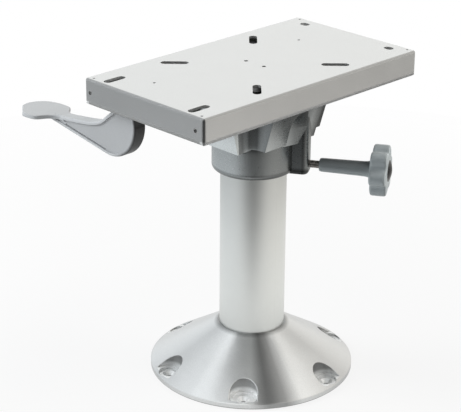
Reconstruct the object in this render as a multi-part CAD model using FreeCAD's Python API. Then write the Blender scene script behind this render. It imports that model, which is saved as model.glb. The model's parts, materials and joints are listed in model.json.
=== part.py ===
import FreeCAD, Part
import math
import os

V = FreeCAD.Vector

# Driving dimensions, in millimetres, origin at the centre of the base's underside, +Z up

# Base
foot_r = 114.3
rim_h = 6.0
rim_edge = 0.8
cone_top_z = 53.0
collar_w = 2.2
base_wall = 5.5
rim_band = 8.0
hub_wall = 8.5
hub_lift = 2.0
socket_floor_z = 10.0
socket_lip = 5.0
foot_hole_ring_r = 101.5
foot_hole_r = 3.4
foot_hole_angle = -50.3
foot_hole_count = 6
pocket_r = 15.0
pocket_floor_z = 8.0
pocket_edge = 1.2
ring_r = 11.6
ring_depth = 2.4
sink_r = 7.0
pad_wall = 4.0
set_screw_r = 3.0
set_screw_z = 20.0
set_screw_count = 3

# Column, its top set down from the housing's top
tube_r = 36.5
tube_wall = 3.5
tube_drop = 25.0
plug_h = 24.0
plug_relief_r = 24.0
plug_relief_h = 8.0
thrust_h = 3.0
thrust_inner_r = 12.0

# Swivel pivot
pivot_bolt_r = 6.0
pivot_bolt_grip = 20.0
pivot_head_flats = 18.0
pivot_head_h = 7.0
pivot_washer_r = 18.0
pivot_washer_h = 3.0

# Swivel housing, its heights measured down from its top and its reach out from the tube
slide_stack_h = 26.0
housing_h = 91.5
ring_wall = 9.5
ring_round = 5.0
bush_wall = 2.0
lower_bush_rise = 1.0
lower_bush_h = 19.0
upper_bush_h = 19.0
upper_bush_drop = 2.0
flare_h = 60.4
flare_side_h = 54.5
flare_side = 10.5
flare_slope_x = 0.3125
flare_front = 10.5
flare_rear = 22.5
flare_slope_y = 0.24
ridge_x = 22.0
ridge_front = 15.5
ridge_rear = 14.5
scoop_sink = 6.0
underside_run = 9.0
ear_run = 7.0
ear_step = 1.2
ear_h = 45.0
ear_in = 13.0
cavity_h = 44.0
flare_wall = 6.0
hub_skin = 6.0
rib_t = 5.0
web_h = 8.0
head_recess_r = 30.0
slide_bolt_x = 16.0
slide_bolt_out = 3.5
slide_bolt_in = 1.0
slide_bolt_r = 4.0
slide_bolt_len = 24.0
slide_bolt_flats = 13.0
slide_bolt_head_h = 5.3
slide_washer_r = 8.0
slide_washer_h = 1.6
bolt_boss_r = 7.5

# Clamp boss, pad, stud and knob
knob_angle = 31.57
knob_drop = 82.2
boss_run = 25.5
boss_half_w = 11.0
boss_hang = 1.1
boss_drop = 18.0
boss_round = 3.5
boss_nose = 7.0
blend_hang = 1.5
blend_run = 14.1
blend_h = 22.0
blend_proud = 1.4
blend_y = -4.0
pad_r = 7.0
pad_gap = 0.3
pad_len = 7.5
pad_bore = 10.5
stud_r = 4.0
stud_in_knob = 31.7
knob_clear = 11.3
hub_len = 53.7
hub_start_r = 7.5
hub_end_r = 8.4
star_neck = 2.8
star_h = 19.0
star_reach = 27.9
star_lobe_r = 8.6
star_valley_r = 4.8
star_lobes = 6
star_phase = 36.0
star_back_chamfer = 1.6
star_face_chamfer = 2.2
star_dome = 2.8
cap_r = 12.0
cap_rise = 3.2
cap_seat = 2.0
cap_skirt = 0.8

# Slide, with the rails set in from the plate's edges
slide_half_y = 80.0
slide_t = 3.0
slide_depth = 11.0
slide_side_gap = 13.5
slide_lip_gap = 3.5
slide_eye_r = 26.0
rail_set = 15.5
rail_lip = 10.5
rail_flange_in_w = 11.5
rail_flange_out_w = 8.5
rail_rise = 7.0
rail_end = 33.0
glide_len = 32.0
glide_inset = 2.0
rack_set = 6.4
rack_w = 5.5
rack_h = 7.0
rack_pitch = 12.5
notch_w = 6.5
notch_depth = 4.0
notch_count = 9

# Seat plate
plate_half_x = 89.0
plate_half_y = 162.0
plate_top_z = 356.0
plate_t = 3.0
flange_h = 29.5
fold_r = 2.6
corner_r = 3.8
flange_round = 5.0
slot_w = 9.0
middle_slot_len = 30.0
middle_slot_x = 61.3
middle_slot_y = 59.8
front_slot_len = 27.0
front_slot_set = 18.6
rear_slot_len = 11.5
rear_slot_set = 16.0
corner_slot_set = 26.3
centre_hole_r = 2.3
centre_hole_x = 13.3
pilot_r = 1.6
pilot_holes = [(-26.6, -121.0), (-25.9, 96.3)]
relief_r = 1.4
relief_set_x = 8.7
relief_set_y = 5.7
end_hole_r = 2.3
end_hole_set_left = 8.5
end_hole_set_right = 12.0
end_hole_drop = 14.7
slot_margin = 1.0

# Release lever and lock, set in from the plate's front end
pivot_set = 11.6
pivot_drop = 14.0
rod_r = 4.0
rod_set = 9.4
rod_rear_y = 14.5
lever_set = 19.8
lever_w = 15.5
lever_recess = 1.8
lever_rim = 3.4
lever_edge = 1.6
lever_hole_r = 1.3
lever_hole_left = 97.5
lever_hole_drop = 49.6
groove_w = 0.9
groove_depth = 2.0
lever_hub_r = 10.0
arc_left = 23.3
arc_drop = 29.6
arc_r = 39.8
arm_len = 123.5
arm_fall = 46.9
arm_end_t = 6.1
arm_top = [(0.1174, 0.3092), (0.2186, 0.5330), (0.3077, 0.7207), (0.3968, 0.8188), (0.5425, 0.8913),
           (0.6802, 0.9403), (0.8178, 0.9808)]
paddle_rise = 0.6
paddle_edge = 1.2
paddle_start = 98.0
paddle_len = 64.4
paddle_w = 49.3
paddle_tip = (0.9705, -0.2860)
paddle_heel = (0.6801, -0.5862)
paddle_shoulder = (0.4037, 0.4138)
paddle_near = [(0.5124, -0.5761), (0.3804, -0.5071), (0.2950, -0.3205), (0.1801, -0.1947)]
paddle_step = [(0.1165, 0.1744), (0.2174, 0.2556), (0.2873, 0.3570)]
paddle_far = [(0.5776, 0.4097), (0.7842, 0.3367), (0.9317, 0.1866), (1.0, -0.0061)]
paddle_t = 4.6
bracket_t = 3.0
front_bracket_set = 37.5
rear_bracket_y = 9.5
bracket_half_w = 7.3
bracket_foot = 12.0
bracket_drop = 18.0
pawl_w = 8.0
pawl_hub_r = 7.0
pawl_lift = 0.4
pawl_tooth_h = 3.0
pawl_side_gap = 0.5
pawl_flat = 3.5
pawl_arm_up = 2.0
pawl_arm_top = 4.0
pin_r = 1.5
clip_r = 6.5
clip_t = 1.0
spring_wire_r = 0.6
spring_mean_r = 5.2
spring_set = 28.7
spring_turns = 5
spring_leg = 8.0
spring_leg_r = 0.5
stop_x = 35.0
stop_half_w = 20.0
stop_t = 4.0
stop_hang = 3.5
stop_set = 24.6
bumper_t = 3.0
bumper_half_w = 9.0
bumper_half_h = 4.5

run_fit = 0.05

# Sizes that follow from the ones above
tube_inner_r = tube_r - tube_wall
bore_r = tube_r + run_fit + bush_wall
collar_r = tube_r + collar_w
cone_slope = (cone_top_z - rim_h) / (foot_r - collar_r)
hub_r = tube_r + hub_wall
housing_top_z = plate_top_z - slide_stack_h
tube_top_z = housing_top_z - tube_drop
ring_bottom_z = housing_top_z - housing_h
ring_outer_r = tube_r + ring_wall
lower_bush_z = ring_bottom_z + lower_bush_rise
flare_z = housing_top_z - flare_h
flare_side_z = housing_top_z - flare_side_h
flare_half_x = tube_r + flare_side
flare_front_y = tube_r + flare_front
flare_rear_y = tube_r + flare_rear
ridge_front_y = flare_front_y - ridge_front
ridge_rear_y = flare_rear_y - ridge_rear
ear_y = ridge_rear_y + ear_run
ear_z = housing_top_z - ear_h
ear_in_x = flare_half_x - ear_in
cavity_floor_z = housing_top_z - cavity_h
slide_bolt_front_y = -flare_front_y - slide_bolt_out
slide_bolt_rear_y = flare_rear_y - slide_bolt_in
web_bottom_z = tube_top_z + thrust_h + run_fit
web_top_z = web_bottom_z + web_h
washer_z = web_top_z + run_fit
pivot_head_z = washer_z + pivot_washer_h
knob_z = housing_top_z - knob_drop
boss_reach = tube_r + boss_run
boss_bottom_z = ring_bottom_z - boss_hang
boss_top_z = housing_top_z - boss_drop
pad_back = tube_r + pad_len
pad_bore_end = tube_r + pad_bore
hub_start = boss_reach + knob_clear
hub_end = hub_start + hub_len
stud_end = hub_start + stud_in_knob
star_back = hub_end + star_neck
slide_z = housing_top_z
slide_lip_z = slide_z + slide_depth
lip_top_z = slide_lip_z + slide_t
rail_wall_x = plate_half_x - rail_set
rail_inner_x = rail_wall_x - rail_lip
rail_flange_in = rail_wall_x - rail_flange_in_w
rail_flange_out = rail_wall_x + rail_flange_out_w
rail_floor_z = slide_z + rail_rise
rail_half_y = plate_half_y - rail_end
slide_half_x = rail_wall_x - slide_side_gap
slide_lip_reach = rail_wall_x - slide_lip_gap
rack_x = rack_set - slide_half_x
underside_z = plate_top_z - plate_t
rail_top_z = underside_z - plate_t
corner_slot_x = plate_half_x - corner_slot_set
front_slot_y = front_slot_set - plate_half_y
rear_slot_y = plate_half_y - rear_slot_set
relief_x = plate_half_x - relief_set_x
relief_y = plate_half_y - relief_set_y
end_hole_xs = (end_hole_set_left - plate_half_x, plate_half_x - end_hole_set_right)
end_hole_z = plate_top_z - end_hole_drop
pivot_x = rack_x + pivot_set
pivot_z = plate_top_z - pivot_drop
rod_front_y = rod_set - plate_half_y
lever_y = lever_set - plate_half_y
lever_near_y = lever_y - lever_w / 2
lever_far_y = lever_y + lever_w / 2
arc_x = pivot_x - arc_left
arc_z = pivot_z - arc_drop
paddle_x = pivot_x - paddle_start
paddle_top_z = pivot_z - arm_fall + paddle_rise
front_bracket_y = front_bracket_set - plate_half_y
spring_y = spring_set - plate_half_y
stop_bottom_z = housing_top_z - stop_hang
stop_face_y = plate_half_y - stop_set - stop_t - bumper_t


def box(x0, x1, y0, y1, z0, z1):
    return Part.makeBox(x1 - x0, y1 - y0, z1 - z0, V(x0, y0, z0))


def cyl_z(r, z0, z1, x=0.0, y=0.0):
    return Part.makeCylinder(r, z1 - z0, V(x, y, z0))


def cyl_y(r, y0, y1, x, z):
    return Part.makeCylinder(r, y1 - y0, V(x, y0, z), V(0, 1, 0))


def tube_z(outer, inner, z0, z1, x=0.0, y=0.0):
    return cyl_z(outer, z0, z1, x, y).cut(cyl_z(inner, z0, z1, x, y))


def spin(points):
    """Turned solid from (radius, z) points."""
    wire = Part.makePolygon([V(r, 0, z) for r, z in points + points[:1]])
    return Part.Face(wire).revolve(V(0, 0, 0), V(0, 0, 1), 360)


def polar(radius, degrees, z=0.0):
    a = math.radians(degrees)
    return V(radius * math.cos(a), radius * math.sin(a), z)


def hexagon(flats, z0, z1, x=0.0, y=0.0):
    corners = [polar(flats / math.sqrt(3), 60 * i, z0) + V(x, y, 0) for i in range(7)]
    return Part.Face(Part.makePolygon(corners)).extrude(V(0, 0, z1 - z0))


def slot(length, width, x, y, degrees, z0, z1):
    """Upright prism with round ends, its long side turned by degrees from +X."""
    reach = polar((length - width) / 2, degrees)
    body = box(-(length - width) / 2, (length - width) / 2, -width / 2, width / 2, z0, z1)
    body.rotate(V(0, 0, 0), V(0, 0, 1), degrees)
    body.translate(V(x, y, 0))
    ends = [cyl_z(width / 2, z0, z1, x + s * reach.x, y + s * reach.y) for s in (-1, 1)]
    return body.multiFuse(ends)


def radial(shape):
    """Turns a solid built along +Z from the origin onto the knob's axis."""
    turned = shape.copy()
    turned.rotate(V(0, 0, 0), V(0, 1, 0), 90)
    turned.rotate(V(0, 0, 0), V(0, 0, 1), knob_angle)
    turned.translate(V(0, 0, knob_z))
    return turned


def at_radius(shape):
    """Turns a solid built along +X at the knob's height round to the knob's angle."""
    turned = shape.copy()
    turned.rotate(V(0, 0, 0), V(0, 0, 1), knob_angle)
    return turned


def cone_z(r):
    return rim_h + (foot_r - r) * cone_slope


def foot_hole_points():
    step = 360.0 / foot_hole_count
    return [polar(foot_hole_ring_r, foot_hole_angle + step * i) for i in range(foot_hole_count)]


def foot_pockets():
    """Milled pockets round the screw holes, each with a round back and straight sides that run outwards."""
    pockets = []
    for p in foot_hole_points():
        run = Part.makeBox(foot_r, 2 * pocket_r, cone_top_z, V(0, -pocket_r, pocket_floor_z))
        run.Placement = FreeCAD.Placement(p, FreeCAD.Rotation(V(1, 0, 0), p))
        pockets.append(cyl_z(pocket_r, pocket_floor_z, cone_top_z, p.x, p.y).fuse(run).removeSplitter())
    return pockets


def on_pocket_lip(edge):
    """Whether an edge is where a pocket's wall meets the cone, above the pocket's floor."""
    spot = edge.valueAt((edge.FirstParameter + edge.LastParameter) / 2)
    reach = math.hypot(spot.x, spot.y)
    low = pocket_floor_z + 0.1 < edge.BoundBox.ZMax and spot.z > pocket_floor_z + 0.1
    return low and reach > tube_r + 10 and abs(spot.z - cone_z(reach)) < 0.15


def make_base():
    skin = spin([(0, 0), (foot_r - rim_edge, 0), (foot_r, rim_edge), (foot_r, rim_h - rim_edge / 2),
                 (foot_r - rim_edge, rim_h + rim_edge / 2), (collar_r, cone_top_z), (0, cone_top_z)])
    rim_inner = foot_r - rim_band
    under_hub, under_rim = cone_z(hub_r) - base_wall, cone_z(rim_inner) - base_wall
    hollow = spin([(hub_r, -1), (hub_r, under_hub), (rim_inner, under_rim), (rim_inner, -1)])
    holes = foot_hole_points()
    pads = [cyl_z(pocket_r + pad_wall, -1, cone_top_z, p.x, p.y) for p in holes]
    body = skin.cut(hollow.cut(pads[0].multiFuse(pads[1:])))
    body = body.cut(cyl_z(hub_r, -1, hub_lift))
    body = body.cut(cyl_z(tube_r, socket_floor_z, cone_top_z + 1))
    body = body.cut(cyl_z(tube_inner_r - socket_lip, -1, socket_floor_z + 1))
    ring_z = pocket_floor_z - ring_depth
    sink_z = ring_z - (sink_r - foot_hole_r)
    for pocket in foot_pockets():
        body = body.cut(pocket)
    body = body.makeFillet(pocket_edge, [e for e in body.Edges if on_pocket_lip(e)])
    for p in holes:
        body = body.cut(cyl_z(ring_r, ring_z, pocket_floor_z + 1, p.x, p.y))
        body = body.cut(Part.makeCone(foot_hole_r, sink_r, ring_z - sink_z, V(p.x, p.y, sink_z)))
        body = body.cut(cyl_z(foot_hole_r, -1, ring_z, p.x, p.y))
    for screw in set_screws():
        body = body.cut(screw)
    return body


def set_screws():
    """Grub screws that hold the tube in the base's hub, reached from below."""
    screws = []
    for i in range(set_screw_count):
        angle = foot_hole_angle + 30 + 120 * i
        start = polar(tube_r, angle, set_screw_z)
        screws.append(Part.makeCylinder(set_screw_r, hub_wall, start, polar(1, angle)))
    tube = cyl_z(tube_r, 0, cone_top_z)
    return [s.cut(tube) for s in screws]


def make_column():
    return tube_z(tube_r, tube_inner_r, socket_floor_z, tube_top_z)


def make_plug():
    body = cyl_z(tube_inner_r, tube_top_z - plug_h, tube_top_z)
    low = tube_top_z - plug_h
    body = body.cut(tube_z(plug_relief_r, 2 * pivot_bolt_r, low, low + plug_relief_h))
    return body.cut(cyl_z(pivot_bolt_r, low, tube_top_z))


def make_pivot_bolt():
    shank = cyl_z(pivot_bolt_r, tube_top_z - pivot_bolt_grip, pivot_head_z)
    return shank.fuse(hexagon(pivot_head_flats, pivot_head_z, pivot_head_z + pivot_head_h))


def flare_section(z, inset=0.0):
    """Outline of the slanted block at height z, with a hollow arc across each corner."""
    half_x = flare_half_x + (z - flare_side_z) * flare_slope_x - inset
    grow_y = (z - flare_z) * flare_slope_y - inset
    front, rear = -flare_front_y - grow_y, flare_rear_y + grow_y
    rx = ridge_x - inset
    high, low = ridge_rear_y - inset, inset - ridge_front_y
    corners = [((half_x, high), (rx, rear)), ((-rx, rear), (-half_x, high)),
               ((-half_x, low), (-rx, front)), ((rx, front), (half_x, low))]
    edges = []
    for i, (a, b) in enumerate(corners):
        start, end = V(a[0], a[1], z), V(b[0], b[1], z)
        chord = end - start
        inward = V(-chord.y, chord.x, 0).normalize() * scoop_sink
        edges.append(Part.Arc(start, (start + end) * 0.5 + inward, end).toShape())
        after = corners[(i + 1) % 4][0]
        edges.append(Part.makeLine(end, V(after[0], after[1], z)))
    return Part.Wire(edges)


def flare_solid(z0, z1, inset=0.0):
    return Part.makeLoft([flare_section(z0, inset), flare_section(z1, inset)], True, True)


def flare_underside(far):
    """Wedges that lift the underside of the block towards its two sides."""
    tools = []
    for s in (-1, 1):
        points = [(ridge_x, flare_z - 2), (ridge_x, flare_z), (ridge_x + underside_run, flare_side_z),
                  (far, flare_side_z), (far, flare_z - 2)]
        wire = Part.makePolygon([V(s * x, -far, z) for x, z in points + points[:1]])
        tools.append(Part.Face(wire).extrude(V(0, 2 * far, 0)))
    return tools


def flare_ears():
    """Narrow stepped bands behind the block's two side faces."""
    ears = []
    for s in (-1, 1):
        wires = []
        for z in (ear_z, housing_top_z):
            x1 = flare_half_x + (z - flare_side_z) * flare_slope_x - ear_step
            ring = [(ear_in_x, ridge_front_y), (x1, ridge_front_y), (x1, ear_y), (ear_in_x, ear_y)]
            wires.append(Part.makePolygon([V(s * x, y, z) for x, y in ring + ring[:1]]))
        ears.append(Part.makeLoft(wires, True, True))
    return ears


def boss_blend():
    """Facet that leads from the block's side face to the near side of the clamp boss."""
    wires = []
    low_z = flare_side_z - blend_hang
    full_u = boss_reach - 0.5
    for z, u in [(low_z, tube_r + blend_run), (low_z + blend_h, full_u), (boss_top_z, full_u)]:
        face_x = flare_half_x + (z - flare_side_z) * flare_slope_x
        near = polar(u, knob_angle, z) - polar(boss_half_w + blend_proud, knob_angle + 90)
        inner = polar(ring_outer_r - 2, knob_angle, z) - polar(boss_half_w / 2, knob_angle + 90)
        wires.append(Part.makePolygon([V(face_x - 1, blend_y, z), near, inner, V(face_x - 1, blend_y, z)]))
    return Part.makeLoft(wires, True, True)


def slide_bolt_points():
    return [(s * slide_bolt_x, y) for s in (-1, 1) for y in (slide_bolt_front_y, slide_bolt_rear_y)]


def make_housing():
    ring = cyl_z(ring_outer_r, ring_bottom_z, housing_top_z)
    low_edge = [e for e in ring.Edges if e.BoundBox.ZMax < ring_bottom_z + 0.1 and len(e.Vertexes) == 1]
    ring = ring.makeFillet(ring_round, low_edge)
    far = 2 * flare_rear_y
    flare = flare_solid(flare_z, housing_top_z)
    for tool in flare_underside(far):
        flare = flare.cut(tool)
    body = ring.multiFuse([flare, clamp_boss(), boss_blend()] + flare_ears())
    cavity = flare_solid(cavity_floor_z, housing_top_z + 1, flare_wall)
    cavity = cavity.cut(cyl_z(bore_r + hub_skin, cavity_floor_z - 1, housing_top_z + 2))
    bosses = [cyl_z(bolt_boss_r, cavity_floor_z - 1, housing_top_z + 2, x, y) for x, y in slide_bolt_points()]
    ribs = [box(-rib_t / 2, rib_t / 2, -far, far, cavity_floor_z - 1, housing_top_z - rib_t),
            box(-far, far, -rib_t / 2, rib_t / 2, cavity_floor_z - 1, housing_top_z - rib_t)]
    cavity = cavity.cut(bosses[0].multiFuse(bosses[1:] + ribs))
    body = body.cut(cavity)
    body = body.cut(cyl_z(bore_r, boss_bottom_z - 1, web_bottom_z))
    body = body.cut(cyl_z(head_recess_r, web_top_z, housing_top_z + 1))
    body = body.cut(cyl_z(pivot_bolt_r + run_fit, web_bottom_z - 1, web_top_z + 1))
    for x, y in slide_bolt_points():
        body = body.cut(cyl_z(slide_bolt_r, housing_top_z - slide_bolt_len, housing_top_z + 1, x, y))
    body = body.cut(radial(cyl_z(pad_r + run_fit, tube_inner_r, pad_bore_end)))
    return body.cut(radial(cyl_z(stud_r + run_fit, pad_bore_end - 1, boss_reach + 1)))


def clamp_boss():
    """Upright boss with a rounded nose that takes the clamp screw."""
    boss = box(tube_inner_r, boss_reach, -boss_half_w, boss_half_w, boss_bottom_z, boss_top_z)
    nose = [e for e in edges_along(boss, 2) if e.BoundBox.XMin > boss_reach - 0.1]
    boss = boss.makeFillet(boss_nose, nose)
    low = [e for e in boss.Edges if e.BoundBox.ZMax < boss_bottom_z + 0.01]
    low = [e for e in low if e.BoundBox.XMax > boss_reach - 1]
    return at_radius(boss.makeFillet(boss_round, low))


def make_bush(z0, height, holed):
    bush = tube_z(bore_r, tube_r + run_fit, z0, z0 + height)
    if holed:
        bush = bush.cut(radial(cyl_z(pad_r + pad_gap, 0, pad_bore_end)))
    return bush


def make_pad():
    pad = radial(cyl_z(pad_r, tube_r - tube_wall, pad_back))
    return pad.cut(cyl_z(tube_r + pad_gap, knob_z - 2 * pad_r, knob_z + 2 * pad_r))


def make_stud():
    return radial(cyl_z(stud_r, pad_back + run_fit, stud_end))


def star_outline(z):
    """Star of tangent arcs, convex round each lobe and hollow between two."""
    half = math.pi / star_lobes
    lobe_at = star_reach - star_lobe_r
    join = star_lobe_r + star_valley_r
    valley_at = lobe_at * math.cos(half) + math.sqrt(join ** 2 - (lobe_at * math.sin(half)) ** 2)
    step = 360.0 / star_lobes
    edges = []
    for i in range(star_lobes):
        a = star_phase + step * i
        lobe = polar(lobe_at, a, z)
        before, after = (polar(valley_at, a + k * step / 2, z) for k in (-1, 1))
        start = lobe + (before - lobe) * (star_lobe_r / join)
        end = lobe + (after - lobe) * (star_lobe_r / join)
        next_lobe = polar(lobe_at, a + step, z)
        next_start = next_lobe + (after - next_lobe) * (star_lobe_r / join)
        edges.append(Part.Arc(start, polar(star_reach, a, z), end).toShape())
        edges.append(Part.Arc(end, polar(valley_at - star_valley_r, a + step / 2, z), next_start).toShape())
    return Part.Face(Part.Wire(edges))


def make_knob():
    face = star_back + star_h
    star = star_outline(star_back).extrude(V(0, 0, star_h))
    star = star.makeChamfer(star_back_chamfer, [e for e in star.Edges if e.BoundBox.ZMax < star_back + 0.1])
    star = star.makeChamfer(star_face_chamfer, [e for e in star.Edges if e.BoundBox.ZMin > face - 0.1])
    wide = star_reach + 1
    dome = spin([(0, star_back - 1), (wide, star_back - 1), (wide, face - 2 * star_dome),
                 (star_reach - 0.4 * star_dome, face - star_dome),
                 (star_reach - 1.6 * star_dome, face - 0.25 * star_dome), (cap_r + 1.5, face), (0, face)])
    hub = spin([(0, hub_start), (hub_start_r - 0.6, hub_start), (hub_start_r, hub_start + 0.6),
                (hub_end_r, hub_end), (hub_end_r + 4, star_back + 1), (0, star_back + 1)])
    knob = hub.fuse(star.common(dome))
    knob = knob.cut(cyl_z(cap_r + cap_skirt, face - cap_seat, face + 1))
    return radial(knob).cut(make_stud())


def make_cap():
    base = star_back + star_h - cap_seat
    sphere_r = (cap_r ** 2 + cap_rise ** 2) / (2 * cap_rise)
    ball = Part.makeSphere(sphere_r, V(0, 0, base + cap_seat + cap_rise - sphere_r))
    return radial(cyl_z(cap_r, base, base + cap_seat + cap_rise + 1).common(ball))


def make_slide():
    web = box(-slide_half_x, slide_half_x, -slide_half_y, slide_half_y, slide_z, slide_z + slide_t)
    sides = []
    for s in (-1, 1):
        xs = sorted((s * slide_half_x, s * (slide_half_x - slide_t)))
        sides.append(box(xs[0], xs[1], -slide_half_y, slide_half_y, slide_z, lip_top_z))
        xs = sorted((s * (slide_half_x - slide_t), s * slide_lip_reach))
        sides.append(box(xs[0], xs[1], -slide_half_y, slide_half_y, slide_lip_z, lip_top_z))
    body = web.multiFuse(sides)
    body = body.cut(cyl_z(slide_eye_r, slide_z - 1, slide_z + slide_t + 1))
    for x, y in slide_bolt_points():
        body = body.cut(cyl_z(slide_bolt_r, slide_z - 1, slide_z + slide_t + 1, x, y))
    return body.removeSplitter()


def make_slide_bolts():
    top = slide_z + slide_t + slide_washer_h
    bolts = []
    for x, y in slide_bolt_points():
        shank = cyl_z(slide_bolt_r, top - slide_bolt_len, top, x, y)
        bolts.append(shank.fuse(hexagon(slide_bolt_flats, top, top + slide_bolt_head_h, x, y)))
    return Part.makeCompound(bolts)


def make_slide_washers():
    z0 = slide_z + slide_t
    z1 = z0 + slide_washer_h
    rings = [tube_z(slide_washer_r, slide_bolt_r, z0, z1, x, y) for x, y in slide_bolt_points()]
    return Part.makeCompound(rings)


def make_glides():
    """Plastic shoes clipped over the slide's lips, running in the rails."""
    shoes = []
    lip = make_slide()
    for s in (-1, 1):
        for e in (-1, 1):
            ys = sorted((e * (slide_half_y - glide_inset), e * (slide_half_y - glide_inset - glide_len)))
            xs = sorted((s * (slide_half_x + 0.4), s * (rail_wall_x - run_fit)))
            low = sorted((s * (rail_inner_x + 0.4), s * (rail_wall_x - run_fit)))
            shoe = box(xs[0], xs[1], ys[0], ys[1], slide_lip_z, rail_top_z - run_fit)
            shoe = shoe.fuse(box(low[0], low[1], ys[0], ys[1], rail_floor_z + run_fit, slide_lip_z))
            shoes.append(shoe.removeSplitter().cut(lip))
    return Part.makeCompound(shoes)


def make_rack():
    z0 = slide_z + slide_t
    half = rack_pitch * notch_count / 2
    bar = box(rack_x - rack_w / 2, rack_x + rack_w / 2, -half, half, z0, z0 + rack_h)
    for i in range(notch_count):
        y = (i - (notch_count - 1) / 2) * rack_pitch
        bar = bar.cut(box(rack_x - rack_w, rack_x + rack_w, y - notch_w / 2, y + notch_w / 2,
                          z0 + rack_h - notch_depth, z0 + rack_h + 1))
    return bar


def edges_along(shape, axis):
    """Straight edges parallel to axis 0, 1 or 2."""
    found = []
    for e in shape.Edges:
        size = (e.BoundBox.XLength, e.BoundBox.YLength, e.BoundBox.ZLength)
        if size[axis] > 1 and sum(size) - size[axis] < 0.01:
            found.append(e)
    return found


def round_prism(half, z0, z1, radius, along_x):
    """Prism whose two lower long edges are rounded, wide in X or in Y."""
    reach = 2 * plate_half_y
    if along_x:
        block = box(-reach, reach, -half, half, z0, z1)
    else:
        block = box(-half, half, -reach, reach, z0, z1)
    low = [e for e in edges_along(block, 0 if along_x else 1) if e.BoundBox.ZMax < z0 + 0.01]
    return block.makeFillet(radius, low)


def plate_slots(z0, z1, margin=0.0):
    """Slots for the seat's bolts, in the middle and near the corners."""
    cuts = []
    width = slot_w + 2 * margin
    for sx in (-1, 1):
        for sy in (-1, 1):
            cuts.append(slot(middle_slot_len + 2 * margin, width, sx * middle_slot_x, sy * middle_slot_y,
                             45 * sx * sy, z0, z1))
        cuts.append(slot(front_slot_len + 2 * margin, width, sx * corner_slot_x, front_slot_y, 90, z0, z1))
        cuts.append(slot(rear_slot_len + 2 * margin, width, sx * corner_slot_x, rear_slot_y, 0, z0, z1))
    return cuts


def make_plate():
    z0 = plate_top_z - flange_h
    outer = box(-plate_half_x, plate_half_x, -plate_half_y, plate_half_y, z0, plate_top_z)
    outer = outer.makeFillet(corner_r, edges_along(outer, 2))
    top = [e for e in outer.Edges if e.BoundBox.ZMin > plate_top_z - 0.01]
    outer = outer.makeFillet(fold_r, top)
    ix, iy = plate_half_x - plate_t, plate_half_y - plate_t
    pan = outer.cut(box(-ix, ix, -iy, iy, z0 - 1, underside_z))
    pan = pan.common(round_prism(plate_half_x, z0, plate_top_z, flange_round, False))
    pan = pan.common(round_prism(plate_half_y, z0, plate_top_z, flange_round, True))
    cuts = plate_slots(underside_z - 1, plate_top_z + 1)
    for x in (-centre_hole_x, centre_hole_x):
        cuts.append(cyl_z(centre_hole_r, underside_z - 1, plate_top_z + 1, x, 0))
    for x, y in pilot_holes:
        cuts.append(cyl_z(pilot_r, underside_z - 1, plate_top_z + 1, x, y))
    for sx in (-1, 1):
        for sy in (-1, 1):
            cuts.append(cyl_z(relief_r, underside_z - 1, plate_top_z + 1, sx * relief_x, sy * relief_y))
    for x in end_hole_xs:
        cuts.append(cyl_y(end_hole_r, -plate_half_y - 1, -iy + 1, x, end_hole_z))
        cuts.append(cyl_y(end_hole_r, iy - 1, plate_half_y + 1, x, end_hole_z))
    for tool in cuts:
        pan = pan.cut(tool)
    return pan


def make_rail(side):
    """Rail spot-welded under the plate, holding one side's glides."""
    floor_low = rail_floor_z - plate_t
    flange = sorted((side * rail_flange_in, side * rail_flange_out))
    wall = sorted((side * rail_wall_x, side * (rail_wall_x + plate_t)))
    lip = sorted((side * rail_inner_x, side * (rail_wall_x + plate_t)))
    rail = box(flange[0], flange[1], -rail_half_y, rail_half_y, rail_top_z, underside_z)
    rail = rail.fuse(box(wall[0], wall[1], -rail_half_y, rail_half_y, floor_low, rail_top_z))
    rail = rail.fuse(box(lip[0], lip[1], -rail_half_y, rail_half_y, floor_low, rail_floor_z))
    for tool in plate_slots(rail_top_z - 1, underside_z + 1, slot_margin):
        rail = rail.cut(tool)
    return rail.removeSplitter()


def make_bracket(y):
    """Angle plate hung from the seat plate, carrying the lock rod."""
    x0, x1 = pivot_x - bracket_half_w, pivot_x + bracket_half_w
    y0, y1 = y - bracket_t / 2, y + bracket_t / 2
    body = box(x0, x1, y0, y1, underside_z - bracket_drop, underside_z)
    body = body.fuse(box(x0, x1, y0, y1 + bracket_foot, underside_z - bracket_t, underside_z))
    body = body.cut(cyl_y(rod_r + run_fit, y0 - 1, y1 + 1, pivot_x, pivot_z))
    return body.removeSplitter()


def make_rod():
    return cyl_y(rod_r, rod_front_y, rod_rear_y, pivot_x, pivot_z)


def on_arc(degrees):
    """Point of the lever's round belly on its near face."""
    a = math.radians(degrees)
    return V(arc_x + arc_r * math.cos(a), lever_near_y, arc_z + arc_r * math.sin(a))


def low_line():
    """Ends of the lever's straight lower edge."""
    return V(pivot_x - arm_len, lever_near_y, pivot_z - arm_fall - arm_end_t), on_arc(-101)


def lever_outline():
    """Closed outline of the lever in the XZ plane, on its near face."""
    def at(x, z):
        return V(x, lever_near_y, z)

    end_x = pivot_x - arm_len
    end_z = pivot_z - arm_fall
    low_end, bottom_end = low_line()
    low = Part.makeLine(low_end, bottom_end)
    sweep = Part.Arc(bottom_end, on_arc(-45), on_arc(0)).toShape()
    hub_right = at(pivot_x + lever_hub_r, pivot_z)
    hub_top = at(pivot_x, pivot_z + lever_hub_r)
    hub_left = at(pivot_x - lever_hub_r, pivot_z)
    rise = Part.makeLine(on_arc(0), hub_right)
    crown = Part.Arc(hub_right, hub_top, hub_left).toShape()
    path = [hub_left] + [at(pivot_x - arm_len * u, pivot_z - arm_fall * v) for u, v in arm_top]
    path.append(at(end_x, end_z))
    spline = Part.BSplineCurve()
    spline.interpolate(path)
    return Part.Wire([low, sweep, rise, crown, spline.toShape(), Part.makeLine(path[-1], low_end)])


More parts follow.
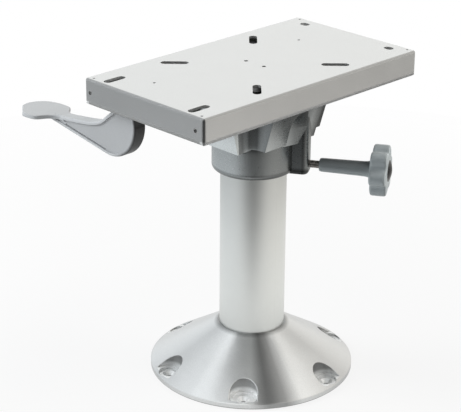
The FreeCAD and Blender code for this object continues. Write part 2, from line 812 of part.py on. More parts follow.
def paddle_solid():
    """Thumb paddle: one straight chamfered corner, the rest rounded, blending into the arm."""
    def at(u, v):
        return V(paddle_x - paddle_len * u, lever_y + paddle_w * v, paddle_top_z - paddle_t)

    def curve(points):
        spline = Part.BSplineCurve()
        spline.interpolate(points)
        return spline.toShape()

    tip, heel, shoulder = at(*paddle_tip), at(*paddle_heel), at(*paddle_shoulder)
    near_end = V(paddle_x, lever_near_y, tip.z)
    far_end = V(paddle_x, lever_far_y, tip.z)
    near = curve([heel] + [at(*p) for p in paddle_near] + [near_end])
    step = curve([far_end] + [at(*p) for p in paddle_step] + [shoulder])
    far = curve([shoulder] + [at(*p) for p in paddle_far] + [tip])
    wire = Part.Wire([Part.makeLine(tip, heel), near, Part.makeLine(near_end, far_end), step, far])
    return rounded_plate(Part.Face(wire), V(0, 0, 1), paddle_t, paddle_edge)


def inset_face(face, distance):
    """Face drawn inwards, its edges redrawn as lines, arcs and plain curves."""
    edges = []
    for e in face.makeOffset2D(-distance).OuterWire.OrderedEdges:
        points = e.discretize(13)
        if isinstance(e.Curve, Part.Line):
            edges.append(Part.makeLine(points[0], points[-1]))
        elif isinstance(e.Curve, Part.Circle):
            edges.append(Part.Arc(points[0], points[6], points[-1]).toShape())
        else:
            curve = Part.BSplineCurve()
            curve.interpolate(points)
            edges.append(curve.toShape())
    return Part.Face(Part.Wire(edges))


def rounded_plate(face, way, thick, edge):
    """Plate drawn from a face along a unit vector, both its outlines rounded in three steps."""
    def outline(inset, height):
        wire = inset_face(face, inset).OuterWire if inset > 0.001 else face.OuterWire.copy()
        wire.translate(way * height)
        return wire

    turn = [math.radians(30 * i) for i in range(4)]
    near = [(edge * (1 - math.sin(a)), edge * (1 - math.cos(a))) for a in turn]
    levels = near + [(inset, thick - height) for inset, height in reversed(near)]
    layers = [Part.makeLoft([outline(*a), outline(*b)], True, True) for a, b in zip(levels, levels[1:])]
    return layers[0].multiFuse(layers[1:])


def lever_grooves(start_x):
    """Narrow groove on each face of the web, along the inside of the straight lower rim."""
    start, end = low_line()
    way = (end - start).normalize()
    start += way * ((start_x - start.x) / way.x) + V(-way.z, 0, way.x) * lever_rim
    deep = lever_recess + groove_depth
    tool = Part.makeBox(end.x - start.x, deep, groove_w)
    turn = FreeCAD.Rotation(V(1, 0, 0), way)
    return [tool.transformed(FreeCAD.Placement(V(start.x, y, start.z), turn).toMatrix())
            for y in (lever_near_y, lever_far_y - deep)]


def make_lever():
    face = Part.Face(lever_outline())
    near = inset_face(face, lever_rim).extrude(V(0, lever_recess, 0))
    far = near.copy()
    far.translate(V(0, lever_w - lever_recess, 0))
    body = rounded_plate(face, V(0, 1, 0), lever_w, lever_edge).cut(near).cut(far)
    hole_x, hole_z = pivot_x - lever_hole_left, pivot_z - lever_hole_drop
    body = body.cut(cyl_y(lever_hole_r, lever_near_y - 1, lever_far_y + 1, hole_x, hole_z))
    for groove in lever_grooves(hole_x):
        body = body.cut(groove)
    body = body.fuse(cyl_y(lever_hub_r, lever_near_y, lever_far_y, pivot_x, pivot_z))
    body = body.fuse(paddle_solid())
    return body.cut(make_rod()).cut(roll_pin(lever_y, lever_hub_r))


def roll_pin(y, reach):
    return cyl_z(pin_r, pivot_z - reach + 0.6, pivot_z + reach - 0.6, pivot_x, y)


def pawl_pin():
    return Part.makeCylinder(pin_r, 2 * pawl_hub_r - 1, V(pivot_x - pawl_hub_r + 0.5, 0, pivot_z), V(1, 0, 0))


def make_pawl():
    rack_top = slide_z + slide_t + rack_h
    tip_z = rack_top + pawl_lift
    x_end = rack_x - rack_w / 2
    hub = cyl_y(pawl_hub_r, -pawl_w / 2, pawl_w / 2, pivot_x, pivot_z)
    under = pivot_z - 2 * pawl_hub_r
    hub = hub.cut(box(pivot_x - pawl_hub_r, pivot_x + pawl_hub_r, -pawl_w, pawl_w, under, tip_z - pawl_flat))
    arm = box(x_end, pivot_x, -pawl_w / 2, pawl_w / 2, tip_z + pawl_arm_up, pivot_z + pawl_arm_top)
    half = notch_w / 2 - pawl_side_gap
    tooth = box(x_end, rack_x + rack_w / 2, -half, half, tip_z, tip_z + pawl_tooth_h)
    body = hub.multiFuse([arm, tooth])
    return body.cut(make_rod()).cut(pawl_pin())


def make_spring():
    """Close-wound torsion spring round the rod, one leg under the plate and one towards the lever."""
    inner, outer = spring_mean_r - spring_wire_r, spring_mean_r + spring_wire_r
    dip = spring_wire_r * 0.6
    pitch = 2 * spring_wire_r
    points = [(inner, 0)]
    for i in range(spring_turns):
        points += [(outer - dip, i * pitch), (outer, (i + 0.3) * pitch), (outer, (i + 0.7) * pitch)]
    points += [(outer - dip, spring_turns * pitch), (inner, spring_turns * pitch)]
    coil = spin(points)
    coil.rotate(V(0, 0, 0), V(1, 0, 0), -90)
    coil.translate(V(pivot_x, spring_y, pivot_z))
    last = spring_y + (spring_turns - 0.5) * pitch
    first = spring_y + 0.5 * pitch
    up_from = V(pivot_x - spring_mean_r, last, pivot_z)
    down_from = V(pivot_x + spring_mean_r, first, pivot_z)
    up = Part.makeCylinder(spring_leg_r, underside_z - pivot_z, up_from)
    down = Part.makeCylinder(spring_leg_r, spring_leg, down_from, V(0, 0, -1))
    return coil.multiFuse([up, down])


def make_clips():
    first = tube_y(clip_r, rod_r, lever_near_y - clip_t - 0.3, lever_near_y - 0.3)
    y1 = rear_bracket_y + bracket_t / 2 + 0.3
    second = tube_y(clip_r, rod_r, y1, y1 + clip_t)
    return Part.makeCompound([first, second])


def tube_y(outer, inner, y0, y1):
    return cyl_y(outer, y0, y1, pivot_x, pivot_z).cut(cyl_y(inner, y0, y1, pivot_x, pivot_z))


def make_stops(bumpers):
    """End stops under the plate, or the rubber pads on them that the slide meets."""
    solids = []
    mid = slide_z + slide_t
    for s in (-1, 1):
        if bumpers:
            ys = sorted((s * stop_face_y, s * (stop_face_y + bumper_t)))
            solids.append(box(stop_x - bumper_half_w, stop_x + bumper_half_w, ys[0], ys[1],
                              mid - bumper_half_h, mid + bumper_half_h))
        else:
            ys = sorted((s * (stop_face_y + bumper_t), s * (plate_half_y - stop_set)))
            solids.append(box(stop_x - stop_half_w, stop_x + stop_half_w, ys[0], ys[1], stop_bottom_z,
                              underside_z))
    return Part.makeCompound(solids)


def save(name, shape):
    shape.exportStep("parts/" + name + ".step")


os.makedirs("parts", exist_ok=True)
save("base", make_base())
save("column_tube", make_column())
save("tube_set_screws", Part.makeCompound(set_screws()))
save("tube_plug", make_plug())
save("thrust_bearing", tube_z(tube_r - 0.5, thrust_inner_r, tube_top_z, tube_top_z + thrust_h))
save("pivot_bolt", make_pivot_bolt())
save("pivot_washer", tube_z(pivot_washer_r, pivot_bolt_r, washer_z, pivot_head_z))
save("swivel_housing", make_housing())
save("lower_bushing", make_bush(lower_bush_z, lower_bush_h, True))
save("upper_bushing", make_bush(tube_top_z - upper_bush_drop - upper_bush_h, upper_bush_h, False))
save("friction_pad", make_pad())
save("knob_stud", make_stud())
save("lock_knob", make_knob())
save("knob_cap", make_cap())
save("slide_base", make_slide())
save("slide_bolts", make_slide_bolts())
save("slide_washers", make_slide_washers())
save("slide_glides", make_glides())
save("lock_rack", make_rack())
save("seat_plate", make_plate())
save("left_rail", make_rail(-1))
save("right_rail", make_rail(1))
save("front_bracket", make_bracket(front_bracket_y))
save("rear_bracket", make_bracket(rear_bracket_y))
save("travel_stops", make_stops(False))
save("stop_bumpers", make_stops(True))
save("return_spring", make_spring())
save("release_lever", make_lever())
save("lever_rod", make_rod().cut(roll_pin(lever_y, lever_hub_r)).cut(pawl_pin()))
save("lever_pins", Part.makeCompound([roll_pin(lever_y, lever_hub_r), pawl_pin()]))
save("lock_pawl", make_pawl())
save("rod_clips", make_clips())
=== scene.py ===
"""Dresses the boat seat pedestal and sets it in a plain studio.

Each sub-assembly of the pedestal is a class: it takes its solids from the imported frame, builds what is
finer than them, and gives every piece its finish. Lengths are in metres, +Z is up, and the origin is the
centre of the foot's underside.
"""

from __future__ import annotations

import json
import logging
import math
from dataclasses import dataclass, field
from enum import Enum
from typing import Any, Sequence, Union

import bmesh
import bpy
from mathutils import Matrix, Vector

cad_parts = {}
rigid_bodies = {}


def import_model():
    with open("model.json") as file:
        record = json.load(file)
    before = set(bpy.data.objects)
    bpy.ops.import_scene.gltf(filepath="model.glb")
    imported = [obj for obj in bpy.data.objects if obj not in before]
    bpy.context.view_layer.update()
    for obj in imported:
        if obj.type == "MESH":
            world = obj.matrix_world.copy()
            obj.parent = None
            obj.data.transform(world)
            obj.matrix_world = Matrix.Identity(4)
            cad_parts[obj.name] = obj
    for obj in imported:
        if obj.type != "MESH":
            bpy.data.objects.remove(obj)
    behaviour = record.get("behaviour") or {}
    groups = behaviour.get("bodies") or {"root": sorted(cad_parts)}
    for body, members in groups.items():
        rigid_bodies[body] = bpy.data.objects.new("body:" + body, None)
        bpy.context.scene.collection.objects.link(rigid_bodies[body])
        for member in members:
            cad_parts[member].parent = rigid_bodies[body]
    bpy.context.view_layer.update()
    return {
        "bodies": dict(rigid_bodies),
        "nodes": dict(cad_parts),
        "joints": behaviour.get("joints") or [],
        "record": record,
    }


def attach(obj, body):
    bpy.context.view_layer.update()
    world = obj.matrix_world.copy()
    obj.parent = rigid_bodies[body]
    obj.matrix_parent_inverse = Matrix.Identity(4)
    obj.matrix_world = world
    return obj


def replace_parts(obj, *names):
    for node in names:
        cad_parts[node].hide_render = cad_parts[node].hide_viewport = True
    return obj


LOG = logging.getLogger("seat_pedestal")
Colour = tuple[float, float, float]
Span = tuple[float, float]
Stops = tuple[tuple[float, float], ...]

# Marks per metre of the clouds, grains and fine marks that the finishes share.
CLOUDS = 22.0
GRAINS = 1000.0
FINE_MARKS = 260.0

# The share of a full turn that sets highlights across the turning marks.
QUARTER_TURN = 0.25

# Vertices nearer to each other than this, in metres, are one.
SEAM = 1e-7


class Value:
    """A socket of a node tree that takes part in Python arithmetic."""

    def __init__(self, graph: "Graph", socket: bpy.types.NodeSocket) -> None:
        """Keeps the socket and the tree that it belongs to."""
        self.graph = graph
        self.socket = socket

    def _math(self, operation: str, *operands: "Term") -> "Value":
        """Adds one Math node for the operation and returns its result."""
        return self.graph.add("ShaderNodeMath", {"operation": operation}, dict(enumerate(operands)))

    def __add__(self, other: "Term") -> "Value":
        """Sum."""
        return self._math("ADD", self, other)

    def __radd__(self, other: "Term") -> "Value":
        """Sum with a number on the left."""
        return self._math("ADD", other, self)

    def __sub__(self, other: "Term") -> "Value":
        """Difference."""
        return self._math("SUBTRACT", self, other)

    def __rsub__(self, other: "Term") -> "Value":
        """Difference with a number on the left."""
        return self._math("SUBTRACT", other, self)

    def __mul__(self, other: "Term") -> "Value":
        """Product."""
        return self._math("MULTIPLY", self, other)

    def __rmul__(self, other: "Term") -> "Value":
        """Product with a number on the left."""
        return self._math("MULTIPLY", other, self)

    def __truediv__(self, other: "Term") -> "Value":
        """Quotient."""
        return self._math("DIVIDE", self, other)

    def __rtruediv__(self, other: "Term") -> "Value":
        """Quotient with a number on the left."""
        return self._math("DIVIDE", other, self)

    def __pow__(self, other: "Term") -> "Value":
        """Power."""
        return self._math("POWER", self, other)

    def __mod__(self, other: "Term") -> "Value":
        """Remainder that never goes below zero."""
        return self._math("FLOORED_MODULO", self, other)

    def __neg__(self) -> "Value":
        """Opposite."""
        return self._math("MULTIPLY", self, -1.0)

    def __abs__(self) -> "Value":
        """Size without its sign."""
        return self._math("ABSOLUTE", self)

    def below(self, limit: "Term") -> "Value":
        """1 where this is less than the limit, else 0."""
        return self._math("LESS_THAN", self, limit)

    def to_share(self) -> "Value":
        """Moves -1 to 1 onto 0 to 1, as a ramp wants it."""
        return self * 0.5 + 0.5

    def toned(self, level: "Term") -> "Value":
        """The level where this mask is 1, and 1 where it is 0."""
        return 1.0 - self * (1.0 - level)

    def sqrt(self) -> "Value":
        """Square root."""
        return self._math("SQRT", self)

    def sin(self) -> "Value":
        """Sine of an angle in radians."""
        return self._math("SINE", self)

    def cos(self) -> "Value":
        """Cosine of an angle in radians."""
        return self._math("COSINE", self)


Term = Union[Value, float, int]
Worked = tuple[Value, Value, Term]


class Graph:
    """A node tree of a material, the world or a Geometry Nodes modifier, built from Python."""

    def __init__(self, tree: bpy.types.NodeTree) -> None:
        """Empties the tree and keeps it.

        Args:
            tree: The tree that the nodes go into.
        """
        self.tree = tree
        tree.nodes.clear()

    def add(
        self,
        kind: str,
        settings: dict[str, Any] | None = None,
        inputs: dict[Union[int, str], Any] | None = None,
        output: Union[int, str] = 0,
    ) -> Value:
        """Adds a node, sets it, then fills its sockets.

        Args:
            kind: The node's type name.
            settings: Its properties. The key stops holds a ramp's (place, colour) pairs.
            inputs: Value, number, vector, colour, material or object for each socket, by name or number.
            output: Which of its outputs is returned.

        Returns:
            The chosen output as a Value.
        """
        node = self.tree.nodes.new(kind)
        for key, setting in (settings or {}).items():
            if key == "stops":
                self._set_stops(node.color_ramp, setting)
            else:
                setattr(node, key, setting)
        for key, given in (inputs or {}).items():
            socket = node.inputs[key]
            if isinstance(given, Value):
                self.tree.links.new(given.socket, socket)
            else:
                socket.default_value = given
        return Value(self, node.outputs[output]) if len(node.outputs) else Value(self, node.inputs[0])

    @staticmethod
    def _set_stops(ramp: bpy.types.ColorRamp, stops: Sequence[tuple[float, float]]) -> None:
        """Gives a ramp its stops.

        Args:
            ramp: The ramp.
            stops: Its (place, grey level) pairs, from left to right.
        """
        while len(ramp.elements) > 1:
            ramp.elements.remove(ramp.elements[-1])
        for i, (place, level) in enumerate(stops):
            element = ramp.elements[0] if i == 0 else ramp.elements.new(place)
            element.position = place
            element.color = (level, level, level, 1.0)

    def coords(self) -> Value:
        """Object coordinates, which are metres in the part's frame."""
        return self.add("ShaderNodeTexCoord", output="Object")

    def axes(self, vector: Value) -> tuple[Value, Value, Value]:
        """Splits a vector into its three values."""
        outputs = self.add("ShaderNodeSeparateXYZ", inputs={0: vector}).socket.node.outputs
        return Value(self, outputs[0]), Value(self, outputs[1]), Value(self, outputs[2])

    def vector(self, x: Term, y: Term, z: Term) -> Value:
        """Joins three values into a vector."""
        return self.add("ShaderNodeCombineXYZ", inputs={0: x, 1: y, 2: z})

    def scaled(self, vector: Value, factors: Sequence[float]) -> Value:
        """Vector times three factors."""
        return self.add("ShaderNodeVectorMath", {"operation": "MULTIPLY"}, {0: vector, 1: tuple(factors)})

    def product(self, first: Value, second: Value) -> Value:
        """Product of two vectors or colours."""
        return self.add("ShaderNodeVectorMath", {"operation": "MULTIPLY"}, {0: first, 1: second})

    def dimmed(self, colour: Value, shade: Value) -> Value:
        """Colour times one lightness."""
        return self.product(colour, self.vector(shade, shade, shade))

    def bearing(self, x: Value, y: Value) -> Value:
        """Angle from +X in radians."""
        return self.add("ShaderNodeMath", {"operation": "ARCTAN2"}, {0: y, 1: x})

    def noise(self, vector: Value, scale: float, detail: float = 2.0, roughness: float = 0.5) -> Value:
        """Noise between 0 and 1."""
        inputs = {"Vector": vector, "Scale": scale, "Detail": detail, "Roughness": roughness}
        return self.add("ShaderNodeTexNoise", inputs=inputs)

    def ramp(self, value: Value, stops: Sequence[tuple[float, float]]) -> Value:
        """Value sent through a grey ramp."""
        return self.add("ShaderNodeValToRGB", {"stops": stops}, {0: value})

    def rise(self, value: Value, span: Span) -> Value:
        """0 below the span, 1 above it and evenly rising in it."""
        return self.ramp(value, [(span[0], 0.0), (span[1], 1.0)])

    def profile(self, length: Value, stops: Sequence[tuple[float, float]], scale: float = 1.0,
                zero: float = 0.5) -> Value:
        """Length in metres sent through a grey ramp.

        Args:
            length: The length.
            stops: The ramp's (length, grey level) pairs.
            scale: Spreads short lengths over the ramp, which runs from 0 to 1 in 256 steps.
            zero: Where on the ramp the length 0 lies.

        Returns:
            The grey level.
        """
        placed = [(place * scale + zero, level) for place, level in stops]
        return self.ramp(length * scale + zero, placed)

    def mixed(self, factor: Term, first: Any, second: Any) -> Value:
        """Colour between two colours."""
        pair = [c if isinstance(c, Value) else (*c, 1.0) for c in (first, second)]
        return self.add("ShaderNodeMix", {"data_type": "RGBA"}, {0: factor, 6: pair[0], 7: pair[1]}, 2)


class Grain(Enum):
    """How the small marks of a surface run."""

    NONE = "none"
    BLASTED = "blasted"
    TURNED = "turned"
    DRAWN = "drawn"
    ORANGE_PEEL = "orange peel"


@dataclass(frozen=True)
class Finish:
    """The finish of one material of the pedestal.

    Attributes:
        name: The record's material slot that it stands for.
        colour: Base colour, linear.
        metallic: 1 for bare metal, 0 for plastic and paint.
        roughness: Middle roughness.
        grain: How its small marks run.
        grain_depth: Height of the marks in metres.
        grain_scale: Marks per metre.
        variation: How far the roughness wanders.
        stain: How much darker the cloudy places are.
        speckle: How far the colour of single grains wanders.
        anisotropic: Stretch of the highlights across the marks.
    """

    name: str
    colour: Colour
    metallic: float
    roughness: float
    grain: Grain = Grain.NONE
    grain_depth: float = 0.0
    grain_scale: float = 600.0
    variation: float = 0.04
    stain: float = 0.06
    speckle: float = 0.0
    anisotropic: float = 0.0

    def material(self) -> bpy.types.Material:
        """Builds the material once and returns it afterwards."""
        made = bpy.data.materials.get("finish_" + self.name)
        if made is not None:
            return made
        made = bpy.data.materials.new("finish_" + self.name)
        made.use_nodes = True
        graph = Graph(made.node_tree)
        place = graph.coords()
        cloud = graph.noise(place, CLOUDS, 4.0, 0.6)
        dark = tuple(c * (1.0 - 2.0 * self.stain) for c in self.colour)
        light = tuple(min(1.0, c * (1.0 + self.stain)) for c in self.colour)
        colour = graph.mixed(graph.rise(cloud, (0.25, 0.75)), dark, light)
        if self.speckle:
            grains = graph.rise(graph.noise(place, GRAINS, 1.0, 0.5), (0.3, 0.7))
            low, high = 1.0 - self.speckle, 1.0 + self.speckle
            colour = graph.mixed(grains, graph.scaled(colour, (low,) * 3), graph.scaled(colour, (high,) * 3))
        fine = graph.noise(place, FINE_MARKS, 3.0, 0.55)
        roughness = self.roughness + (cloud + fine - 1.0) * (2.0 * self.variation)
        colour, roughness, metallic = self._worked(graph, place, colour, roughness)
        inputs: dict[Union[int, str], Any] = {
            "Base Color": colour,
            "Metallic": metallic,
            "Roughness": roughness,
            "Anisotropic": self.anisotropic,
            "Anisotropic Rotation": QUARTER_TURN if self.grain is Grain.TURNED else 0.0,
        }
        if self.grain is not Grain.NONE:
            marks = self._marks(graph, place)
            inputs["Normal"] = graph.add("ShaderNodeBump", inputs={
                "Strength": 1.0, "Distance": self.grain_depth, "Height": marks})
        shader = graph.add("ShaderNodeBsdfPrincipled", inputs=inputs)
        graph.add("ShaderNodeOutputMaterial", inputs={"Surface": shader})
        return made

    def _worked(self, graph: Graph, place: Value, colour: Value, roughness: Value) -> Worked:
        """Colour, roughness and metalness where a piece is finished otherwise; here nowhere."""
        return colour, roughness, self.metallic

    def _marks(self, graph: Graph, place: Value) -> Value:
        """Height pattern of the surface's small marks.

        Args:
            graph: The material's tree.
            place: Object coordinates.

        Returns:
            The height, about 0 to 1.
        """
        if self.grain is Grain.TURNED:
            x, y, z = graph.axes(place)
            radius = (x * x + y * y).sqrt()
            return graph.noise(graph.vector(radius, 0.0, z), self.grain_scale, 2.0, 0.6)
        if self.grain is Grain.DRAWN:
            return graph.noise(graph.scaled(place, (1.0, 1.0, 0.02)), self.grain_scale, 2.0, 0.6)
        if self.grain is Grain.BLASTED:
            coarse = graph.noise(place, self.grain_scale, 2.0, 0.6)
            return coarse * 0.6 + graph.noise(place, self.grain_scale * 2.7, 1.0, 0.5) * 0.4
        return graph.noise(place, self.grain_scale, 1.0, 0.4)


@dataclass(frozen=True)
class FootFinish(Finish):
    """Turned finish of the foot, with duller milled pockets, and painted light and shade: pockets painted
    lighter at their floors and darker up their walls, a dark painted reflection streak down the cone, and
    painted shade on its sides, round its collar and on the rim's lower edge.

    Attributes:
        pockets: How many pockets there are.
        first: Bearing of the first one in degrees.
        ring_r: Radius of the circle that they stand on.
        pocket_r: Radius of a pocket.
        open_r: Where the pockets' floors run out of the cone.
        dulling: How much rougher a pocket is.
        milled: How much less of a mirror a pocket is.
        painted_pocket_shades: Height in metres and lightness against the cone, from a pocket's floor to its
            top.
        edge_z: Height below which painted shade darkens the rim's lower edge.
        painted_edge_shade: How light that edge is.
        streak: Bearing of the dark painted reflection streak down the cone, in degrees.
        streak_w: Half of its width in degrees.
        streak_core: Share of that width that is evenly dull.
        painted_streak_shade: How light its middle is.
        front: Bearing of the side left lightest, in degrees; the rest gets painted shade.
        painted_flank_shade: How light the rest is against that side.
        flank_turn: Facing, from 0 away to 1 toward that side, between which the flank grows lighter.
        collar: Radius and lightness of the painted shade where the cone meets its collar.
    """

    pockets: int = 6
    first: float = -50.3
    ring_r: float = 0.1015
    pocket_r: float = 0.0152
    open_r: float = 0.1112
    dulling: float = 0.10
    milled: float = 0.35
    painted_pocket_shades: Stops = ((0.0085, 1.35), (0.011, 1.1), (0.014, 0.50), (0.024, 0.32))
    edge_z: float = 0.0012
    painted_edge_shade: float = 0.4
    streak: float = -31.0
    streak_w: float = 15.0
    streak_core: float = 0.35
    painted_streak_shade: float = 0.50
    front: float = -45.8
    painted_flank_shade: float = 0.70
    flank_turn: Span = (0.70, 0.92)
    collar: Stops = ((0.0385, 0.45), (0.0418, 1.0))

    def _worked(self, graph: Graph, place: Value, colour: Value, roughness: Value) -> Worked:
        """Makes the pockets rougher and less of a mirror than the turned cone, and paints light and shade
        into the pockets, a dark streak and side shade onto the cone, and shade round the collar and on the
        rim's lower edge.

        Args:
            graph: The material's tree.
            place: Object coordinates.
            colour: Colour of the plain finish.
            roughness: Its roughness.

        Returns:
            Colour, roughness and metalness of this piece.
        """
        x, y, z = graph.axes(place)
        step = 2.0 * math.pi / self.pockets
        bearing = graph.bearing(x, y)
        off = (bearing - math.radians(self.first) + step * 0.5) % step - step * 0.5
        radius = (x * x + y * y).sqrt()
        along, across = radius * off.cos() - self.ring_r, radius * off.sin()
        inside = (along * along + across * across).sqrt().below(self.pocket_r) * radius.below(self.open_r)
        # Painted light and shade in the pockets: lighter floors, walls darker towards the top.
        pocket = graph.profile(z, self.painted_pocket_shades, 10.0, 0.0)
        # Painted reflection and shade on the cone: a dark streak, darker sides away from the front, and a
        # dark ring at the collar.
        streak = graph.ramp(abs(bearing - math.radians(self.streak)) / math.radians(self.streak_w),
                            [(self.streak_core, self.painted_streak_shade), (1.0, 1.0)])
        flank = graph.ramp((bearing - math.radians(self.front)).cos().to_share(),
                           [(self.flank_turn[0], self.painted_flank_shade), (self.flank_turn[1], 1.0)])
        cone = streak * graph.ramp(radius, self.collar)
        worked = graph.mixed(inside, graph.product(colour, cone), graph.product(colour, pocket))
        # Painted shade on the rim's lower edge.
        edge = z.below(self.edge_z)
        worked = graph.mixed(edge, graph.product(worked, flank), graph.scaled(colour, (self.painted_edge_shade,) * 3))
        return worked, roughness + inside * self.dulling, self.metallic * (1.0 - inside * self.milled)


@dataclass(frozen=True)
class TrayFinish(Finish):
    """Coating of the seat plate, with the tray's inside left bare, and painted shade and light: shade inside
    the tray, along its folds, on its upright corners, on its end flanges and on the ends of its rolled lower
    edge, and light on its long flanges.

    Attributes:
        inner_x: Half the width inside the flanges.
        inner_y: Half the length inside the flanges.
        under_z: Height of the plate's underside.
        wall: From the inside of a wall to its outside.
        inside: How light the painted shade inside the tray is against the coating.
        bare: How much rougher the inside is.
        fold: Width of the bands along the folds.
        fold_core: Share of that width that is evenly shaded.
        side_fold: How light the painted shade along the folds of the length is.
        end_fold: How light the painted shade along the folds at the ends is.
        corner: How light the painted shade on the upright corners is.
        side: How light the long flanges' outsides are painted; above 1, a painted light.
        end: How light the painted shade on the end flanges' outsides is.
        hem_z: Height at which the flanges' rolled lower edge begins.
        hem: How light the painted shade on that edge is at the ends.
        side_hem: How light that painted tone is along the length.
        roll: Depth of the rolled edge.
        matt: How much rougher that edge is, which is no mirror.
    """

    inner_x: float = 0.0862
    inner_y: float = 0.1592
    under_z: float = 0.3532
    wall: float = 0.0028
    inside: float = 0.40
    bare: float = 0.1
    fold: float = 0.0026
    fold_core: float = 0.55
    side_fold: float = 0.55
    end_fold: float = 0.66
    corner: float = 0.35
    side: float = 1.2
    end: float = 0.85
    hem_z: float = 0.3316
    hem: float = 0.52
    side_hem: float = 1.0
    roll: float = 0.006
    matt: float = 0.5

    def _worked(self, graph: Graph, place: Value, colour: Value, roughness: Value) -> Worked:
        """Paints shade into the tray's inside, folds, corners and rolled edge, and paints its long flanges
        lighter and its end flanges darker.

        Args:
            graph: The material's tree.
            place: Object coordinates.
            colour: Colour of the plain finish.
            roughness: Its roughness.

        Returns:
            Colour, roughness and metalness of this piece.
        """
        x, y, z = graph.axes(place)
        within = abs(x).below(self.inner_x) * abs(y).below(self.inner_y) * z.below(self.under_z)
        half_x = self.inner_x + self.wall
        near_x = self._band(graph, half_x - abs(x))
        near_y = self._band(graph, self.inner_y + self.wall - abs(y))
        near_z = self._band(graph, self.under_z + self.wall - z)
        hem = z.below(self.hem_z)
        edge = self.side_hem - abs(x).below(half_x - self.roll) * (self.side_hem - self.hem)
        # Painted shade inside the tray, on the rolled edge, folds and corners; painted light on the long
        # flanges and painted shade on the end flanges.
        shade = within.toned(self.inside) * hem.toned(edge) * near_x.toned(self.side) * near_y.toned(self.end)
        shade = shade * (near_x * near_z).toned(self.side_fold) * (near_y * near_z).toned(self.end_fold)
        shade = shade * (near_x * near_y).toned(self.corner)
        roughness = roughness + within * self.bare + hem * self.matt
        return graph.dimmed(colour, shade), roughness, self.metallic * (1.0 - hem)

    def _band(self, graph: Graph, depth: Value) -> Value:
        """1 at an outer face and 0 past a fold's width."""
        return graph.ramp(depth / self.fold, [(self.fold_core, 1.0), (1.0, 0.0)])


@dataclass(frozen=True)
class CastFinish(Finish):
    """Blasted skin of the casting, with painted shade in its corner flutes, on the ridges under them, up
    under the tray, on the ring's lower edge and on one side, away from the light.

    Attributes:
        flute: Bearing of a flute within its quarter, in degrees.
        flute_w: Half of the painted shade band's width in degrees.
        flute_core: Share of that width that is evenly dark.
        flute_z: Heights between which the band sets in.
        flute_low_z: Height at which the flutes begin.
        painted_flute_shade: How light a flute's middle is against the skin.
        ridge: Place beside a flute's middle, in half widths, and share of the ridge's painted shade there.
        painted_ridge_shade: How light the ridge is.
        high: Heights between which painted shade darkens the skin up under the tray.
        painted_high_shade: How light its top is.
        low: Height and lightness of the painted shade on the ring's lower edge.
        shaded_way: Level bearing of the side with painted shade, as a unit vector.
        shaded: Distance from the axis that way and lightness of the painted shade there.
    """

    flute: float = 47.0
    flute_w: float = 17.0
    flute_core: float = 0.3
    flute_z: Span = (0.268, 0.278)
    flute_low_z: float = 0.270
    painted_flute_shade: float = 0.15
    ridge: Stops = ((0.45, 0.0), (0.75, 1.0), (1.35, 1.0), (1.6, 0.0))
    painted_ridge_shade: float = 0.35
    high: Span = (0.280, 0.314)
    painted_high_shade: float = 0.5
    low: Stops = ((0.2385, 0.15), (0.2425, 0.35), (0.2460, 1.0))
    shaded_way: tuple[float, float] = (0.7164, 0.6977)
    shaded: Stops = (
        (-0.006, 1.0), (0.020, 0.58), (0.036, 0.50), (0.043, 0.33), (0.054, 0.33), (0.061, 0.7))

    def _worked(self, graph: Graph, place: Value, colour: Value, roughness: Value) -> Worked:
        """Paints shade into the flutes and onto the ridges, the top, the lower edge and the side away from
        the light.

        Args:
            graph: The material's tree.
            place: Object coordinates.
            colour: Colour of the plain finish.
            roughness: Its roughness.

        Returns:
            Colour, roughness and metalness of this piece.
        """
        x, y, z = graph.axes(place)
        bearing = graph.bearing(abs(x), abs(y))
        off = (bearing - math.radians(self.flute)) / math.radians(self.flute_w)
        # Painted shade: the flutes, the ridges under them, the top under the tray, one side and the ring's
        # lower edge.
        band = graph.ramp(abs(off), [(self.flute_core, 1.0), (1.0, 0.0)]) * graph.rise(z, self.flute_z)
        ridge = graph.ramp(off, self.ridge) * (1.0 - z.below(self.flute_low_z))
        top = graph.rise(z, self.high)
        side = graph.profile(x * self.shaded_way[0] + y * self.shaded_way[1], self.shaded)
        shade = band.toned(self.painted_flute_shade) * ridge.toned(self.painted_ridge_shade) * top.toned(self.painted_high_shade)
        shade = shade * side * graph.ramp(z, self.low)
        return graph.dimmed(colour, shade), roughness, self.metallic


